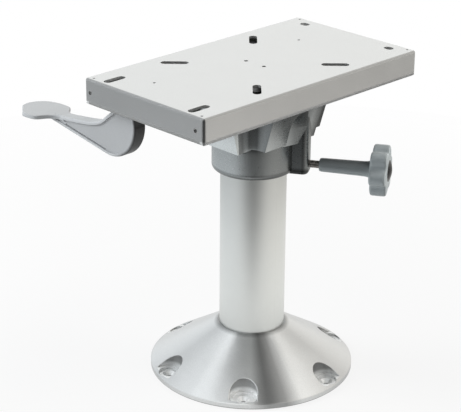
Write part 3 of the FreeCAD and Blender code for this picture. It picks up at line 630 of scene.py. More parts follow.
@dataclass(frozen=True)
class LeverFinish(Finish):
    """Moulded plastic of the lever, with painted shade on its web and round the side of its belly away from
    the light.

    Attributes:
        middle_y: Middle of the lever's width.
        web_y: Distance of the web's faces from the middle.
        web_skin: How near to those faces the web's shade reaches.
        web_from_x: Where the web starts.
        painted_web_shade: How light the web is.
        belly: Centre of the belly in X and Z.
        belly_r: Radius of the belly.
        belly_rim: Distance from that radius, and share of the belly's painted shade there.
        belly_side: Distance past the centre, and share of that shade.
        painted_belly_shade: How light the belly is.
    """

    middle_y: float = -0.1422
    web_y: float = 0.00595
    web_skin: float = 0.0002
    web_from_x: float = -0.139
    painted_web_shade: float = 0.84
    belly: tuple[float, float] = (-0.0653, 0.3124)
    belly_r: float = 0.0398
    belly_rim: Stops = ((-0.0014, 0.0), (-0.0006, 1.0))
    belly_side: Stops = ((0.005, 0.0), (0.020, 1.0))
    painted_belly_shade: float = 0.07

    def _worked(self, graph: Graph, place: Value, colour: Value, roughness: Value) -> Worked:
        """Paints shade onto the web's faces and onto the side of the belly that looks away from the handle.

        Args:
            graph: The material's tree.
            place: Object coordinates.
            colour: Colour of the plain finish.
            roughness: Its roughness.

        Returns:
            Colour, roughness and metalness of this piece.
        """
        x, y, z = graph.axes(place)
        # Painted shade on the web's faces and on the belly.
        web = abs(abs(y - self.middle_y) - self.web_y).below(self.web_skin)
        web = web * (1.0 - x.below(self.web_from_x))
        along, rise = x - self.belly[0], z - self.belly[1]
        reach = (along * along + rise * rise).sqrt() - self.belly_r
        belly = graph.profile(reach, self.belly_rim) * graph.profile(along, self.belly_side, 10.0, 0.0)
        shade = web.toned(self.painted_web_shade) * belly.toned(self.painted_belly_shade)
        return graph.dimmed(colour, shade), roughness, self.metallic


@dataclass(frozen=True)
class KnobFinish(Finish):
    """Moulded plastic of the clamp knob, with painted light and shade: the star painted lighter, its face
    lighter still, and the hub painted light below and dark on top.

    Attributes:
        way: Level direction of the knob's axis.
        axis_z: Height of the axis.
        star_from: Where the star starts along the axis.
        face_from: Where its face starts.
        star: Painted lightness of the star; above 1, a painted light.
        face: Painted lightness of the face against the star.
        hub: Painted lightness of the hub's underside.
        hub_side: Height from the axis, and lightness of the hub there against its underside, painted shade
            towards the top.
    """

    way: tuple[float, float] = (0.8520, 0.5235)
    axis_z: float = 0.2478
    star_from: float = 0.1285
    face_from: float = 0.1476
    star: float = 1.35
    face: float = 1.6
    hub: float = 1.2
    hub_side: Stops = ((-0.006, 1.0), (0.007, 0.30))

    def _worked(self, graph: Graph, place: Value, colour: Value, roughness: Value) -> Worked:
        """Paints light onto the star and its face, and light below and shade on top onto the hub.

        Args:
            graph: The material's tree.
            place: Object coordinates.
            colour: Colour of the plain finish.
            roughness: Its roughness.

        Returns:
            Colour, roughness and metalness of this piece.
        """
        x, y, z = graph.axes(place)
        along = x * self.way[0] + y * self.way[1]
        # Painted light on the star and its face; painted light below and painted shade on top of the hub.
        star, face = 1.0 - along.below(self.star_from), 1.0 - along.below(self.face_from)
        hub = self.hub * graph.profile(z - self.axis_z, self.hub_side, 10.0)
        shade = (hub + star * (self.star - hub)) * face.toned(self.face)
        return graph.dimmed(colour, shade), roughness, self.metallic


SATIN_ALUMINIUM = FootFinish("satin_aluminium", (0.82, 0.83, 0.83), 0.85, 0.30, Grain.TURNED, 0.00002, 900.0,
                             variation=0.03, stain=0.02, speckle=0.05, anisotropic=0.55)
TUBE_ALUMINIUM = Finish("tube_aluminium", (0.76, 0.775, 0.76), 1.0, 0.36, Grain.DRAWN, 0.00001, 900.0,
                        variation=0.03, stain=0.02, anisotropic=0.3)
CAST_ALUMINIUM = CastFinish("cast_aluminium", (0.61, 0.64, 0.645), 1.0, 0.28, Grain.BLASTED, 0.00007, 700.0,
                            variation=0.04, stain=0.04, speckle=0.06)
MACHINED_ALUMINIUM = Finish("machined_aluminium", (0.70, 0.71, 0.72), 1.0, 0.28, Grain.TURNED, 0.00002, 800.0)
PLATE_COATING = TrayFinish("plate_coating", (0.71, 0.715, 0.71), 0.85, 0.40, Grain.BLASTED, 0.00008, 700.0,
                           variation=0.03, stain=0.015, speckle=0.05)
LEVER_PLASTIC = LeverFinish("lever_plastic", (0.49, 0.50, 0.51), 0.0, 0.42, Grain.ORANGE_PEEL, 0.00005, 700.0,
                            stain=0.02, speckle=0.04)
KNOB_PLASTIC = KnobFinish("knob_plastic", (0.37, 0.41, 0.425), 0.0, 0.40, Grain.ORANGE_PEEL, 0.00005, 700.0,
                          stain=0.03, speckle=0.04)
CAP_PLASTIC = Finish("cap_plastic", (0.012, 0.012, 0.013), 0.0, 0.28, stain=0.02)
STUD_STEEL = Finish("stud_steel", (0.22, 0.21, 0.20), 1.0, 0.34, stain=0.08)
SCREW_STEEL = Finish("screw_steel", (0.55, 0.55, 0.56), 1.0, 0.30, stain=0.06)
# Dark zinc steel, made this dark as painted shade for the tray's inside seen through the slots.
SLIDE_STEEL = Finish("slide_steel", (0.15, 0.16, 0.14), 1.0, 0.50, Grain.BLASTED, 0.00005, 500.0, stain=0.06)
SPRING_STEEL = Finish("spring_steel", (0.35, 0.35, 0.36), 1.0, 0.30, stain=0.05)
PAD_BRASS = Finish("pad_brass", (0.66, 0.48, 0.22), 1.0, 0.34, stain=0.06)
BEARING_PLASTIC = Finish("bearing_plastic", (0.70, 0.69, 0.66), 0.0, 0.45, stain=0.02)
GLIDE_PLASTIC = Finish("glide_plastic", (0.06, 0.06, 0.065), 0.0, 0.45, stain=0.04)
STOP_RUBBER = Finish("stop_rubber", (0.02, 0.02, 0.02), 0.0, 0.75, Grain.ORANGE_PEEL, 0.0001, 700.0)


class RuleMesh:
    """A mesh made by a Geometry Nodes tree with named sizes, turned into a plain mesh."""

    def __init__(self, name: str, sizes: dict[str, float]) -> None:
        """Opens an empty tree and gives it one named input for each size.

        Args:
            name: Name of the finished piece.
            sizes: The value of each named input. A whole number makes an integer input.
        """
        self.name = name
        self.sizes = sizes
        tree = bpy.data.node_groups.new("rule_" + name, "GeometryNodeTree")
        tree.interface.new_socket("Geometry", in_out="OUTPUT", socket_type="NodeSocketGeometry")
        self.ids: dict[str, str] = {}
        for key, size in sizes.items():
            kind = "NodeSocketInt" if isinstance(size, int) else "NodeSocketFloat"
            self.ids[key] = tree.interface.new_socket(key, in_out="INPUT", socket_type=kind).identifier
        self.graph = Graph(tree)
        self.source = tree.nodes.new("NodeGroupInput")

    def size(self, key: str) -> Value:
        """The named input as a Value."""
        return Value(self.graph, self.source.outputs[key])

    def join(self, parts: Sequence[Value]) -> Value:
        """One geometry from several.

        Args:
            parts: The geometries.

        Returns:
            All of them together.
        """
        node = self.graph.tree.nodes.new("GeometryNodeJoinGeometry")
        for part in parts:
            self.graph.tree.links.new(part.socket, node.inputs[0])
        return Value(self.graph, node.outputs[0])

    def swept(self, path: Value, profile: Value) -> Value:
        """Profile swept along a path, closed at both ends."""
        inputs = {"Curve": path, "Profile Curve": profile, "Fill Caps": True}
        return self.graph.add("GeometryNodeCurveToMesh", inputs=inputs)

    def ring(self, radius: Term, resolution: int) -> Value:
        """A circle curve."""
        inputs = {"Resolution": resolution, "Radius": radius}
        return self.graph.add("GeometryNodeCurvePrimitiveCircle", inputs=inputs)

    def line(self, start: Any, end: Any) -> Value:
        """A straight curve between two points."""
        return self.graph.add("GeometryNodeCurvePrimitiveLine", inputs={"Start": start, "End": end})

    def spiral(self, resolution: int, turns: Value, radius: Value, height: Value) -> Value:
        """A helix of even radius."""
        return self.graph.add("GeometryNodeCurveSpiral", inputs={
            "Resolution": resolution, "Rotations": turns, "Start Radius": radius, "End Radius": radius,
            "Height": height})

    def _baked(self, geometry: Value, finish: Finish) -> bpy.types.Mesh:
        """Ends the tree and turns what it makes into a plain mesh.

        Args:
            geometry: What the tree has built.
            finish: The finish of the piece.

        Returns:
            The mesh, in its own frame.
        """
        real = self.graph.add("GeometryNodeRealizeInstances", inputs={0: geometry})
        inputs = {"Geometry": real, "Material": finish.material()}
        dressed = self.graph.add("GeometryNodeSetMaterial", inputs=inputs)
        self.graph.add("NodeGroupOutput", inputs={0: dressed})
        host = bpy.data.objects.new(self.name + "_rule", bpy.data.meshes.new(self.name + "_rule"))
        bpy.context.scene.collection.objects.link(host)
        modifier = host.modifiers.new("rule", "NODES")
        modifier.node_group = self.graph.tree
        for key, identifier in self.ids.items():
            modifier[identifier] = self.sizes[key]
        evaluated = host.evaluated_get(bpy.context.evaluated_depsgraph_get())
        mesh = bpy.data.meshes.new_from_object(evaluated)
        host.modifiers.clear()
        bpy.data.objects.remove(host)
        return mesh

    def finish(self, geometry: Value, finish: Finish, body: str, place: Matrix,
               smooth: float = 35.0) -> bpy.types.Object:
        """Bakes the tree, closes the mesh's seams and lets the piece ride on its body.

        Args:
            geometry: What the tree has built.
            finish: The finish of the piece.
            body: The moving body that carries it.
            place: Where the mesh goes in the part's frame.
            smooth: Edges sharper than this many degrees stay sharp.

        Returns:
            The finished object, at the origin, with its place in its mesh.
        """
        mesh = self._baked(geometry, finish)
        mesh.name = self.name
        mesh.transform(place)
        work = bmesh.new()
        work.from_mesh(mesh)
        bmesh.ops.remove_doubles(work, verts=work.verts, dist=SEAM)
        bmesh.ops.recalc_face_normals(work, faces=work.faces)
        work.to_mesh(mesh)
        work.free()
        mesh.shade_smooth()
        mesh.set_sharp_from_angle(angle=math.radians(smooth))
        mesh.materials.clear()
        mesh.materials.append(finish.material())
        piece = bpy.data.objects.new(self.name, mesh)
        bpy.context.scene.collection.objects.link(piece)
        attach(piece, body)
        LOG.info("%s: built on %s, finish %s", self.name, body, finish.name)
        return piece


@dataclass
class Assembly:
    """A sub-assembly of the pedestal.

    Attributes:
    """

    frame: dict[str, Any]

    def dress(self, node: str, finish: Finish) -> None:
        """Gives a solid of the frame its finish.

        Args:
            node: The solid's name.
            finish: Its finish.
        """
        solid = self.frame["nodes"][node]
        solid.data.materials.clear()
        solid.data.materials.append(finish.material())
        LOG.info("%s: solid kept, finish %s", node, finish.name)


@dataclass
class Foot(Assembly):
    """The turned foot and its grub screws."""

    def build(self) -> None:
        """Dresses the foot."""
        self.dress("base", SATIN_ALUMINIUM)
        self.dress("tube_set_screws", SCREW_STEEL)


@dataclass
class Column(Assembly):
    """The tube with its plug, pivot bolt and bearings."""

    def build(self) -> None:
        """Dresses the column and what is in its top."""
        self.dress("column_tube", TUBE_ALUMINIUM)
        self.dress("tube_plug", MACHINED_ALUMINIUM)
        self.dress("pivot_bolt", SCREW_STEEL)
        self.dress("pivot_washer", SCREW_STEEL)
        for bearing in ("thrust_bearing", "lower_bushing", "upper_bushing"):
            self.dress(bearing, BEARING_PLASTIC)


@dataclass
class SwivelHead(Assembly):
    """The casting that turns on the column, with the slide channel bolted on it.

    Attributes:
        bolt_x: Half the distance between the two rows of slide bolts.
        bolt_front_y: Place of the front bolts.
        bolt_rear_y: Place of the rear bolts.
        bolt_r: Radius of a bolt's shank.
        shank_low_z: Lowest point of the shanks.
        head_low_z: Underside of the bolt heads.
        head_h: Height of a head.
        head_flats: Width of a head across its flats.
        head_chamfer: Share of the head's height and radius that its chamfer takes.
    """

    bolt_x: float = 0.016
    bolt_front_y: float = -0.0505
    bolt_rear_y: float = 0.058
    bolt_r: float = 0.004
    shank_low_z: float = 0.3106
    head_low_z: float = 0.3346
    head_h: float = 0.0053
    head_flats: float = 0.013
    head_chamfer: float = 0.16

    def build(self) -> None:
        """Dresses the casting, the channel and what is bolted to it."""
        self.dress("swivel_housing", CAST_ALUMINIUM)
        self.dress("slide_base", SLIDE_STEEL)
        self.dress("slide_washers", SCREW_STEEL)
        self.dress("slide_glides", GLIDE_PLASTIC)
        self.dress("lock_rack", SLIDE_STEEL)
        bolts = self.slide_bolts()
        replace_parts(bolts, "slide_bolts")

    def slide_bolts(self) -> bpy.types.Object:
        """Four hexagon bolts, each with a chamfered head on a round face.

        Returns:
            The bolts as one piece.
        """
        rule = RuleMesh("slide_bolt_set", {
            "Spacing X": 2 * self.bolt_x, "Spacing Y": self.bolt_rear_y - self.bolt_front_y,
            "Shank Radius": self.bolt_r, "Shank Length": self.head_low_z - self.shank_low_z,
            "Head Height": self.head_h, "Head Corner Radius": self.head_flats / math.sqrt(3.0),
        })
        graph = rule.graph
        head_h, corner = rule.size("Head Height"), rule.size("Head Corner Radius")
        straight = 1.0 - self.head_chamfer
        shank = graph.add("GeometryNodeMeshCylinder", inputs={
            "Vertices": 32, "Radius": rule.size("Shank Radius"), "Depth": rule.size("Shank Length")})
        shank = self._lifted(graph, shank, rule.size("Shank Length") * -0.5)
        hexagon = graph.add("GeometryNodeMeshCylinder", inputs={
            "Vertices": 6, "Radius": corner, "Depth": head_h * straight})
        hexagon = self._lifted(graph, hexagon, head_h * (straight / 2))
        top = graph.add("GeometryNodeMeshCone", inputs={
            "Vertices": 6, "Radius Top": corner * straight, "Radius Bottom": corner,
            "Depth": head_h * self.head_chamfer})
        top = self._lifted(graph, top, head_h * straight)
        bolt = rule.join([shank, hexagon, top])
        points = graph.add("GeometryNodeMeshGrid", inputs={
            "Size X": rule.size("Spacing X"), "Size Y": rule.size("Spacing Y"),
            "Vertices X": 2, "Vertices Y": 2})
        bolts = graph.add("GeometryNodeInstanceOnPoints", inputs={"Points": points, "Instance": bolt})
        centre_y = (self.bolt_front_y + self.bolt_rear_y) / 2
        place = Matrix.Translation((0.0, centre_y, self.head_low_z))
        return rule.finish(bolts, SCREW_STEEL, "swivel_head", place)

    @staticmethod
    def _lifted(graph: Graph, geometry: Value, height: Term) -> Value:
        """Geometry moved up by a height."""
        return graph.add("GeometryNodeTransform", inputs={
            "Geometry": geometry, "Translation": graph.vector(0.0, 0.0, height)})


@dataclass
class ClampKnob(Assembly):
    """The star knob, its screw, its cap and the pad that grips the column.

    Attributes:
        angle: Bearing of the screw's axis in degrees from +X.
        height: Height of the axis.
        lobes: Lobes of the star.
        phase: Bearing of the first lobe about the axis, in degrees.
        reach: Largest radius of the star.
        lobe_r: Radius of a lobe.
        valley_r: Radius of the hollow between two lobes.
        star_low: Where the star starts along the axis.
        star_high: Where its face is.
        hub_low: Where the hub starts along the axis.
        hub_r: Radius of the hub at its start.
        hub_end_r: Radius of the hub at the star.
        hub_sunk: How far the hub runs into the star.
        hub_flare: How much wider the hub's root grows there.
        flare_power: How late along the hub it does so.
        hub_nose: How much the hub's free end is rounded off.
        nose_power: How near to that end.
        squareness: How square the star's edges are.
        thread_low: Where the screw's bare thread starts.
        thread_high: Where it ends.
        thread_r: Radius of the screw.
        thread_pitch: Distance between two turns of the thread.
        thread_ridge: Height of the thread's ridge.
    """

    angle: float = 31.57
    height: float = 0.2478
    lobes: int = 6
    phase: float = 36.0
    reach: float = 0.0279
    lobe_r: float = 0.0086
    valley_r: float = 0.0048
    star_low: float = 0.1298
    star_high: float = 0.1488
    hub_low: float = 0.0733
    hub_r: float = 0.0075
    hub_end_r: float = 0.0084
    hub_sunk: float = 0.002
    hub_flare: float = 0.006
    flare_power: float = 24.0
    hub_nose: float = 0.0008
    nose_power: float = 60.0
    squareness: float = 9.0
    thread_low: float = 0.0622
    thread_high: float = 0.0732
    thread_r: float = 0.004
    thread_pitch: float = 0.00125
    thread_ridge: float = 0.0003

    def build(self) -> None:
        """Builds the star and the thread and dresses the rest."""
        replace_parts(self.star(), "lock_knob")
        self.thread()
        self.dress("knob_stud", STUD_STEEL)
        self.dress("knob_cap", CAP_PLASTIC)
        self.dress("friction_pad", PAD_BRASS)

    def axis(self) -> Matrix:
        """Turns a piece built along +Z onto the screw's axis."""
        turn = Matrix.Rotation(math.radians(self.angle), 4, "Z") @ Matrix.Rotation(math.radians(90), 4, "Y")
        return Matrix.Translation((0.0, 0.0, self.height)) @ turn

    def star(self) -> bpy.types.Object:
        """The star knob: tangent arcs swept along the axis, and a hub with a flared root.

        Returns:
            The knob as one piece.
        """
        half = math.pi / self.lobes
        lobe_at = self.reach - self.lobe_r
        join = self.lobe_r + self.valley_r
        valley_at = lobe_at * math.cos(half) + math.sqrt(join ** 2 - (lobe_at * math.sin(half)) ** 2)
        share = self.lobe_r / join
        touch_x = lobe_at + (valley_at * math.cos(half) - lobe_at) * share
        touch_y = valley_at * math.sin(half) * share
        rule = RuleMesh("star_knob", {
            "Lobes": self.lobes, "Phase": math.radians(self.phase), "Lobe Centre": lobe_at,
            "Lobe Radius": self.lobe_r, "Valley Centre": valley_at, "Valley Radius": self.valley_r,
            "Touch Angle": math.atan2(touch_y, touch_x), "Squareness": self.squareness,
            "Star Low": self.star_low, "Star High": self.star_high, "Hub Low": self.hub_low,
            "Hub Radius": self.hub_r, "Hub End Radius": self.hub_end_r,
        })
        knob = rule.join([self._star_body(rule), self._hub_body(rule)])
        return rule.finish(knob, KNOB_PLASTIC, "clamp_knob", self.axis(), 40.0)

    def _outline(self, rule: RuleMesh) -> Value:
        """The star's outline, from the polar form of its tangent arcs.

        Args:
            rule: The knob's mesh.

        Returns:
            The outline as a closed curve.
        """
        graph = rule.graph
        circle = rule.ring(1.0, 192)
        x, y, _ = graph.axes(graph.add("GeometryNodeInputPosition"))
        angle = graph.bearing(x, y)
        step = 2.0 * math.pi / rule.size("Lobes")
        off = abs((angle - rule.size("Phase") + step * 0.5) % step - step * 0.5)
        rest = step * 0.5 - off
        lobe_at, valley_at = rule.size("Lobe Centre"), rule.size("Valley Centre")
        lobe_r, valley_r = rule.size("Lobe Radius"), rule.size("Valley Radius")
        on_lobe = lobe_at * off.cos() + (lobe_r ** 2.0 - (lobe_at * off.sin()) ** 2.0).sqrt()
        in_valley = valley_at * rest.cos() - (valley_r ** 2.0 - (valley_at * rest.sin()) ** 2.0).sqrt()
        lobe = off.below(rule.size("Touch Angle"))
        radius = on_lobe * lobe + in_valley * (1.0 - lobe)
        spot = graph.vector(radius * angle.cos(), radius * angle.sin(), 0.0)
        return graph.add("GeometryNodeSetPosition", inputs={"Geometry": circle, "Position": spot})

    def _star_body(self, rule: RuleMesh) -> Value:
        """The star, its edges rounded by shrinking the outline towards both faces.

        Args:
            rule: The knob's mesh.

        Returns:
            The star's body.
        """
        low, high = rule.size("Star Low"), rule.size("Star High")
        along = rule.graph.add("GeometryNodeSplineParameter", output="Factor")
        side = ((along - 0.5) * math.pi).sin()
        width = (1.0 - abs(side) ** rule.size("Squareness")) ** (1.0 / rule.size("Squareness"))
        height = low + (high - low) * side.to_share()
        return self._axial_sweep(rule, 48, width, height, self._outline(rule))

    def _hub_body(self, rule: RuleMesh) -> Value:
        """The hub, slightly wider towards the star, with a flared root.

        Args:
            rule: The knob's mesh.

        Returns:
            The hub's body.
        """
        low, high = rule.size("Hub Low"), rule.size("Star Low") + self.hub_sunk
        along = rule.graph.add("GeometryNodeSplineParameter", output="Factor")
        start, end = rule.size("Hub Radius"), rule.size("Hub End Radius")
        flare = self.hub_flare * along ** self.flare_power
        nose = self.hub_nose * (1.0 - along) ** self.nose_power
        width = start + (end - start) * along + flare - nose
        return self._axial_sweep(rule, 60, width, low + (high - low) * along, rule.ring(1.0, 48))

    @staticmethod
    def _axial_sweep(rule: RuleMesh, count: int, width: Value, height: Value, profile: Value) -> Value:
        """Profile swept up the axis.

        Args:
            rule: The mesh that it belongs to.
            count: Number of points along the axis.
            width: Scale of the profile at each point.
            height: Place of each point along the axis.
            profile: The closed curve that is swept.

        Returns:
            The swept mesh.
        """
        graph = rule.graph
        path = rule.line((0.0, 0.0, 0.0), (0.0, 0.0, 1.0))
        path = graph.add("GeometryNodeResampleCurve", inputs={"Curve": path, "Count": count})
        path = graph.add("GeometryNodeSetCurveRadius", inputs={"Curve": path, "Radius": width})
        spot = graph.vector(0.0, 0.0, height)
        path = graph.add("GeometryNodeSetPosition", inputs={"Geometry": path, "Position": spot})
        swept = rule.swept(path, profile)
        scale = swept.socket.node.inputs.get("Scale")
        if scale is not None:
            graph.tree.links.new(graph.add("GeometryNodeInputRadius").socket, scale)
        return swept

    def thread(self) -> bpy.types.Object:
        """The screw's bare thread between the casting and the knob.

        Returns:
            The thread as one piece.
        """
        length = self.thread_high - self.thread_low
        rule = RuleMesh("stud_thread", {
            "Radius": self.thread_r, "Length": length, "Turns": length / self.thread_pitch,
            "Ridge": self.thread_ridge,
        })
        spiral = rule.spiral(32, rule.size("Turns"), rule.size("Radius"), rule.size("Length"))
        ridge = rule.swept(spiral, rule.ring(rule.size("Ridge"), 4))
        place = self.axis() @ Matrix.Translation((0.0, 0.0, self.thread_low))
        return rule.finish(ridge, STUD_STEEL, "clamp_knob", place)


@dataclass
class SeatTray(Assembly):
    """The folded seat plate and what is welded under it.

    Attributes:
        pivot_x: Place of the lever rod.
        pivot_z: Height of the lever rod.
        under_z: Height of the plate's underside.
        spring_y: Front end of the return spring.
        wire_r: Radius of the spring's wire.
        coil_r: Middle radius of its coil.
        turns: Turns of the coil.
        leg: Length of the spring's lower leg.
    """

    pivot_x: float = -0.042
    pivot_z: float = 0.342
    under_z: float = 0.353
    spring_y: float = -0.1333
    wire_r: float = 0.0006
    coil_r: float = 0.0052
    turns: float = 5.0
    leg: float = 0.008

    def build(self) -> None:
        """Dresses the tray and builds the spring."""
        self.dress("seat_plate", PLATE_COATING)
        for node in ("left_rail", "right_rail", "front_bracket", "rear_bracket", "travel_stops"):
            self.dress(node, SLIDE_STEEL)
        self.dress("stop_bumpers", STOP_RUBBER)
        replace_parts(self.spring(), "return_spring")

    def spring(self) -> bpy.types.Object:
        """The return spring: a close-wound coil round the rod with two legs.

        Returns:
            The spring as one piece.
        """
        rule = RuleMesh("torsion_spring", {
            "Coil Radius": self.coil_r, "Wire Radius": self.wire_r, "Turns": self.turns,
            "Upper Leg": self.under_z - self.pivot_z, "Lower Leg": self.leg,
        })
        graph = rule.graph
        length = rule.size("Turns") * rule.size("Wire Radius") * 2.0
        radius, rise, drop = rule.size("Coil Radius"), rule.size("Upper Leg"), rule.size("Lower Leg")
        coil = rule.spiral(40, rule.size("Turns"), radius, length)
        wire = rule.ring(rule.size("Wire Radius"), 12)
        upper = rule.line(graph.vector(-radius, 0.0, length), graph.vector(-radius, rise, length))
        lower = rule.line(graph.vector(radius, 0.0, 0.0), graph.vector(radius, -drop, 0.0))
        spring = rule.join([rule.swept(curve, wire) for curve in (coil, upper, lower)])
        turn = Matrix(((1, 0, 0, 0), (0, 0, 1, 0), (0, 1, 0, 0), (0, 0, 0, 1)))
        place = Matrix.Translation((self.pivot_x, self.spring_y + self.wire_r, self.pivot_z)) @ turn
        return rule.finish(spring, SPRING_STEEL, "seat_slide", place)


@dataclass
class ReleaseLever(Assembly):
    """The hand lever with its rod, pins, clips and pawl."""

    def build(self) -> None:
        """Dresses the lever and the lock."""
        self.dress("release_lever", LEVER_PLASTIC)
        for node in ("lever_rod", "lever_pins", "rod_clips"):
            self.dress(node, SCREW_STEEL)
        self.dress("lock_pawl", SLIDE_STEEL)


@dataclass
class Camera:
    """The photograph's camera.

    Attributes:
        azimuth: Bearing of the camera in degrees.
        elevation: Its height above the horizon in degrees.
        roll: Its roll in degrees.
        lens: Focal length in millimetres.
        picture_w: Width of the picture behind that lens, in millimetres.
        distance: From the camera to the target.
        target_z: Height of the target.
        slide_x: Sideways offset of the target in the picture plane.
        slide_y: Upward offset of the target in the picture plane.
        shift: Shift of the picture against the lens's axis.
    """

    azimuth: float = 44.241
    elevation: float = 22.575
    roll: float = 0.716
    lens: float = 134.53
    picture_w: float = 36.0
    distance: float = 1.895446
    target_z: float = 0.200
    slide_x: float = 0.004144
    slide_y: float = 0.004998
    shift: tuple[float, float] = (-0.0410, -0.0055)

    def build(self) -> None:
        """Sets the camera up and makes it the scene's camera."""
        a, e, r = (math.radians(v) for v in (self.azimuth, self.elevation, self.roll))
        right = Vector((math.cos(a), math.sin(a), 0.0))
        back = Vector((math.sin(a) * math.cos(e), -math.cos(a) * math.cos(e), math.sin(e)))
        above = back.cross(right)
        side = right * math.cos(r) + above * math.sin(r)
        top = above * math.cos(r) - right * math.sin(r)
        target = Vector((0.0, 0.0, self.target_z)) - side * self.slide_x - top * self.slide_y
        data = bpy.data.cameras.new("photo_camera")
        data.lens, data.sensor_width, data.sensor_fit = self.lens, self.picture_w, "HORIZONTAL"
        data.shift_x, data.shift_y = self.shift
        data.clip_start, data.clip_end = 0.1, 50.0
        camera = bpy.data.objects.new("photo_camera", data)
        turn = Matrix((side, top, back)).transposed()
        camera.matrix_world = Matrix.Translation(target + back * self.distance) @ turn.to_4x4()
        bpy.context.scene.collection.objects.link(camera)
        bpy.context.scene.camera = camera


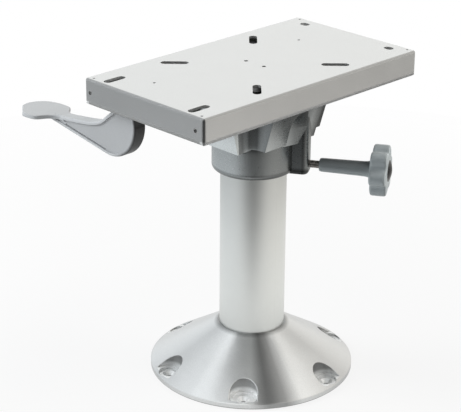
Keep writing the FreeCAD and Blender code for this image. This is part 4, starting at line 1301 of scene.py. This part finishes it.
@dataclass
class Studio:
    """Floor, three soft lamps and the surroundings that the metal mirrors.

    Bearings run from 0 behind the object to 1 at the camera, and places across the view from 0 at the left
    to 1 at the right.

    Attributes:
        view: Level bearing of the camera, as a unit vector.
        floor_r: Radius of the floor.
        floor_z: Its height, just under the foot.
        grey: Grey of the floor for the camera, where the shadow shows.
        white: Level at which it glows for the camera.
        shadow: Share of the object's shadow that the floor shows.
        fade: Shares of the radius between which the shadow fades out.
        mirrored: Share of the radius, and level of the floor in the metal.
        apron: Distance toward the camera, and how much of that level is left.
        spread: How much farther out the apron's levels lie at the sides.
        bounce: Greys of the floor's left and right side, which light the object from below.
        bounce_turn: Places across the floor between which the right side's grey takes over.
        gap: Place across the view, and depth of the unlit gap between the panels.
        gap_front: Bearings between which the gap sets in.
        front: Bearings between which the side at the camera goes dark, low down.
        upper: Heights between which the gap takes over from that dark side.
        dim: Level of the surroundings where they are dark.
        back: Level low behind the object.
        behind: Bearings, counted from the camera, between which that level sets in.
        behind_top: Heights between which it ends.
        sides: Level of the panels all round.
        overhead: Level straight above.
        above: Heights between which that level sets in.
        below: Level under the horizon, past the floor.
        horizon: Heights, from 0 straight down to 1 straight up, between which that level ends.
        ambient: Share of the surroundings that lights matt surfaces.
        cool: Tint of the left side.
        warm: Tint of the right side.
        tint_turn: Places across the view between which the one passes into the other.
        aim_z: Height that the lamps look at.
        lamps: Name, place, width, power and colour of each lamp.
    """

    view: tuple[float, float] = (0.6977, -0.7164)
    floor_r: float = 0.9
    floor_z: float = -0.0002
    grey: float = 0.80
    white: float = 0.99
    shadow: float = 0.15
    fade: Span = (0.25, 0.95)
    mirrored: Stops = ((0.13, 0.78), (0.21, 1.0), (0.45, 1.0), (0.95, 0.40))
    apron: Stops = ((0.21, 1.0), (0.44, 0.44), (0.58, 0.10))
    spread: float = 0.5
    bounce: tuple[float, float] = (0.72, 0.25)
    bounce_turn: Span = (0.50, 0.62)
    gap: Stops = ((0.51, 0.0), (0.55, 1.0), (0.62, 1.0), (0.68, 0.0))
    gap_front: Span = (0.30, 0.42)
    front: Span = (0.72, 0.90)
    upper: Span = (0.1, 0.4)
    dim: float = 0.03
    back: float = 1.3
    behind: Span = (0.70, 0.92)
    behind_top: Span = (0.42, 0.60)
    sides: float = 0.90
    overhead: float = 1.40
    above: Span = (0.72, 0.95)
    below: float = 0.38
    horizon: Span = (0.42, 0.50)
    ambient: float = 0.30
    cool: Colour = (0.94, 0.975, 1.0)
    warm: Colour = (1.0, 0.975, 0.93)
    tint_turn: Span = (0.2, 0.8)
    aim_z: float = 0.2
    lamps: list[tuple[str, Vector, float, float, Colour]] = field(default_factory=lambda: [
        ("left_panel", Vector((-1.6, -1.3, 1.25)), 1.3, 50.0, (0.95, 0.98, 1.0)),
        ("right_panel", Vector((1.1, 1.3, 1.9)), 1.3, 26.0, (1.0, 0.98, 0.95)),
        ("low_panel", Vector((-0.35, -1.85, 0.12)), 0.8, 8.0, (0.95, 0.98, 1.0)),
    ])

    def build(self) -> None:
        """Builds the floor, the lamps and the surroundings."""
        self.floor()
        aim = Vector((0.0, 0.0, self.aim_z))
        for name, place, width, power, colour in self.lamps:
            data = bpy.data.lights.new(name, "AREA")
            data.shape, data.size, data.energy, data.color = "SQUARE", width, power, colour
            lamp = bpy.data.objects.new(name, data)
            lamp.location = place
            lamp.rotation_mode = "QUATERNION"
            lamp.rotation_quaternion = (place - aim).to_track_quat("Z", "Y")
            lamp.visible_glossy = False
            bpy.context.scene.collection.objects.link(lamp)
        self.surroundings()
        bpy.context.scene.view_settings.view_transform = "Standard"

    @staticmethod
    def _rays(graph: Graph) -> tuple[Value, Value]:
        """Whether a ray comes from the camera, and whether it is a reflection or passes through glass."""
        camera = graph.add("ShaderNodeLightPath", output="Is Camera Ray")
        outputs = camera.socket.node.outputs
        return camera, Value(graph, outputs["Is Glossy Ray"]) + Value(graph, outputs["Is Transmission Ray"])

    def floor(self) -> None:
        """A round pale floor that is white for the camera and keeps a soft shadow."""
        mesh = bpy.data.meshes.new("studio_floor")
        work = bmesh.new()
        bmesh.ops.create_circle(work, cap_ends=True, radius=self.floor_r, segments=96,
                                matrix=Matrix.Translation((0.0, 0.0, self.floor_z)))
        work.to_mesh(mesh)
        work.free()
        floor = bpy.data.objects.new("studio_floor", mesh)
        material = bpy.data.materials.new("studio_floor")
        material.use_nodes = True
        graph = Graph(material.node_tree)
        x, y, _ = graph.axes(graph.coords())
        away = (x * x + y * y).sqrt() / self.floor_r
        side = x * -self.view[1] + y * self.view[0]
        toward = x * self.view[0] + y * self.view[1] - abs(side) * self.spread
        near = 1.0 - graph.rise(away, self.fade)
        mirrored = graph.ramp(away, self.mirrored) * graph.ramp(toward, self.apron)
        left, right = self.bounce
        bounce = graph.mixed(graph.rise(side.to_share(), self.bounce_turn), (left,) * 3, (right,) * 3)
        camera, mirror = self._rays(graph)
        matt = graph.add("ShaderNodeBsdfDiffuse", inputs={
            "Color": graph.mixed(camera, bounce, (self.grey,) * 3)})
        tint = self._tint(graph, side / self.floor_r)
        glow = graph.add("ShaderNodeEmission", inputs={
            "Color": graph.mixed(camera, tint, (1.0, 1.0, 1.0)),
            "Strength": camera * self.white + mirror * mirrored})
        share = camera * (1.0 - self.shadow * near) + mirror
        mixed = graph.add("ShaderNodeMixShader", inputs={0: share, 1: matt, 2: glow})
        graph.add("ShaderNodeOutputMaterial", inputs={"Surface": mixed})
        mesh.materials.append(material)
        bpy.context.scene.collection.objects.link(floor)

    def _tint(self, graph: Graph, side: Value) -> Value:
        """Colour of the light from a side, where -1 is left of the camera and 1 right of it."""
        return graph.mixed(graph.rise(side.to_share(), self.tint_turn), self.cool, self.warm)

    def surroundings(self) -> None:
        """White for the camera; for the metal, panels with a low dark side at the camera and a gap above."""
        world = bpy.data.worlds.new("studio")
        world.use_nodes = True
        bpy.context.scene.world = world
        graph = Graph(world.node_tree)
        x, y, z = graph.axes(graph.add("ShaderNodeTexCoord", output="Generated"))
        facing = x * self.view[0] + y * self.view[1]
        side = x * -self.view[1] + y * self.view[0]
        gap = graph.ramp(side.to_share(), self.gap) * graph.rise(facing.to_share(), self.gap_front)
        front = graph.rise(facing.to_share(), self.front)
        upper = graph.rise(z, self.upper)
        dark = upper * gap + (1.0 - upper) * front
        behind = graph.rise((-facing).to_share(), self.behind) * (1.0 - graph.rise(z, self.behind_top))
        low = graph.ramp(z.to_share(), [(self.horizon[0], self.below), (self.horizon[1], 1.0)])
        above = graph.rise(z, self.above)
        open_sky = self.sides + behind * (self.back - self.sides) + above * (self.overhead - self.sides)
        level = low * (open_sky * (1.0 - dark) + dark * self.dim)
        camera, mirror = self._rays(graph)
        strength = camera + (1.0 - camera) * level * (mirror + (1.0 - mirror) * self.ambient)
        colour = graph.mixed(camera, self._tint(graph, side), (1.0, 1.0, 1.0))
        light = graph.add("ShaderNodeBackground", inputs={"Color": colour, "Strength": strength})
        graph.add("ShaderNodeOutputWorld", inputs={"Surface": light})


def main() -> None:
    """Builds the pedestal from the foot up, then the studio."""
    logging.basicConfig(level=logging.INFO, format="%(name)s: %(message)s")
    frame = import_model()
    for assembly in (Foot, Column, SwivelHead, ClampKnob, SeatTray, ReleaseLever):
        assembly(frame).build()
        LOG.info("%s built", assembly.__name__)
    Camera().build()
    Studio().build()


if __name__ == "__main__":
    main()
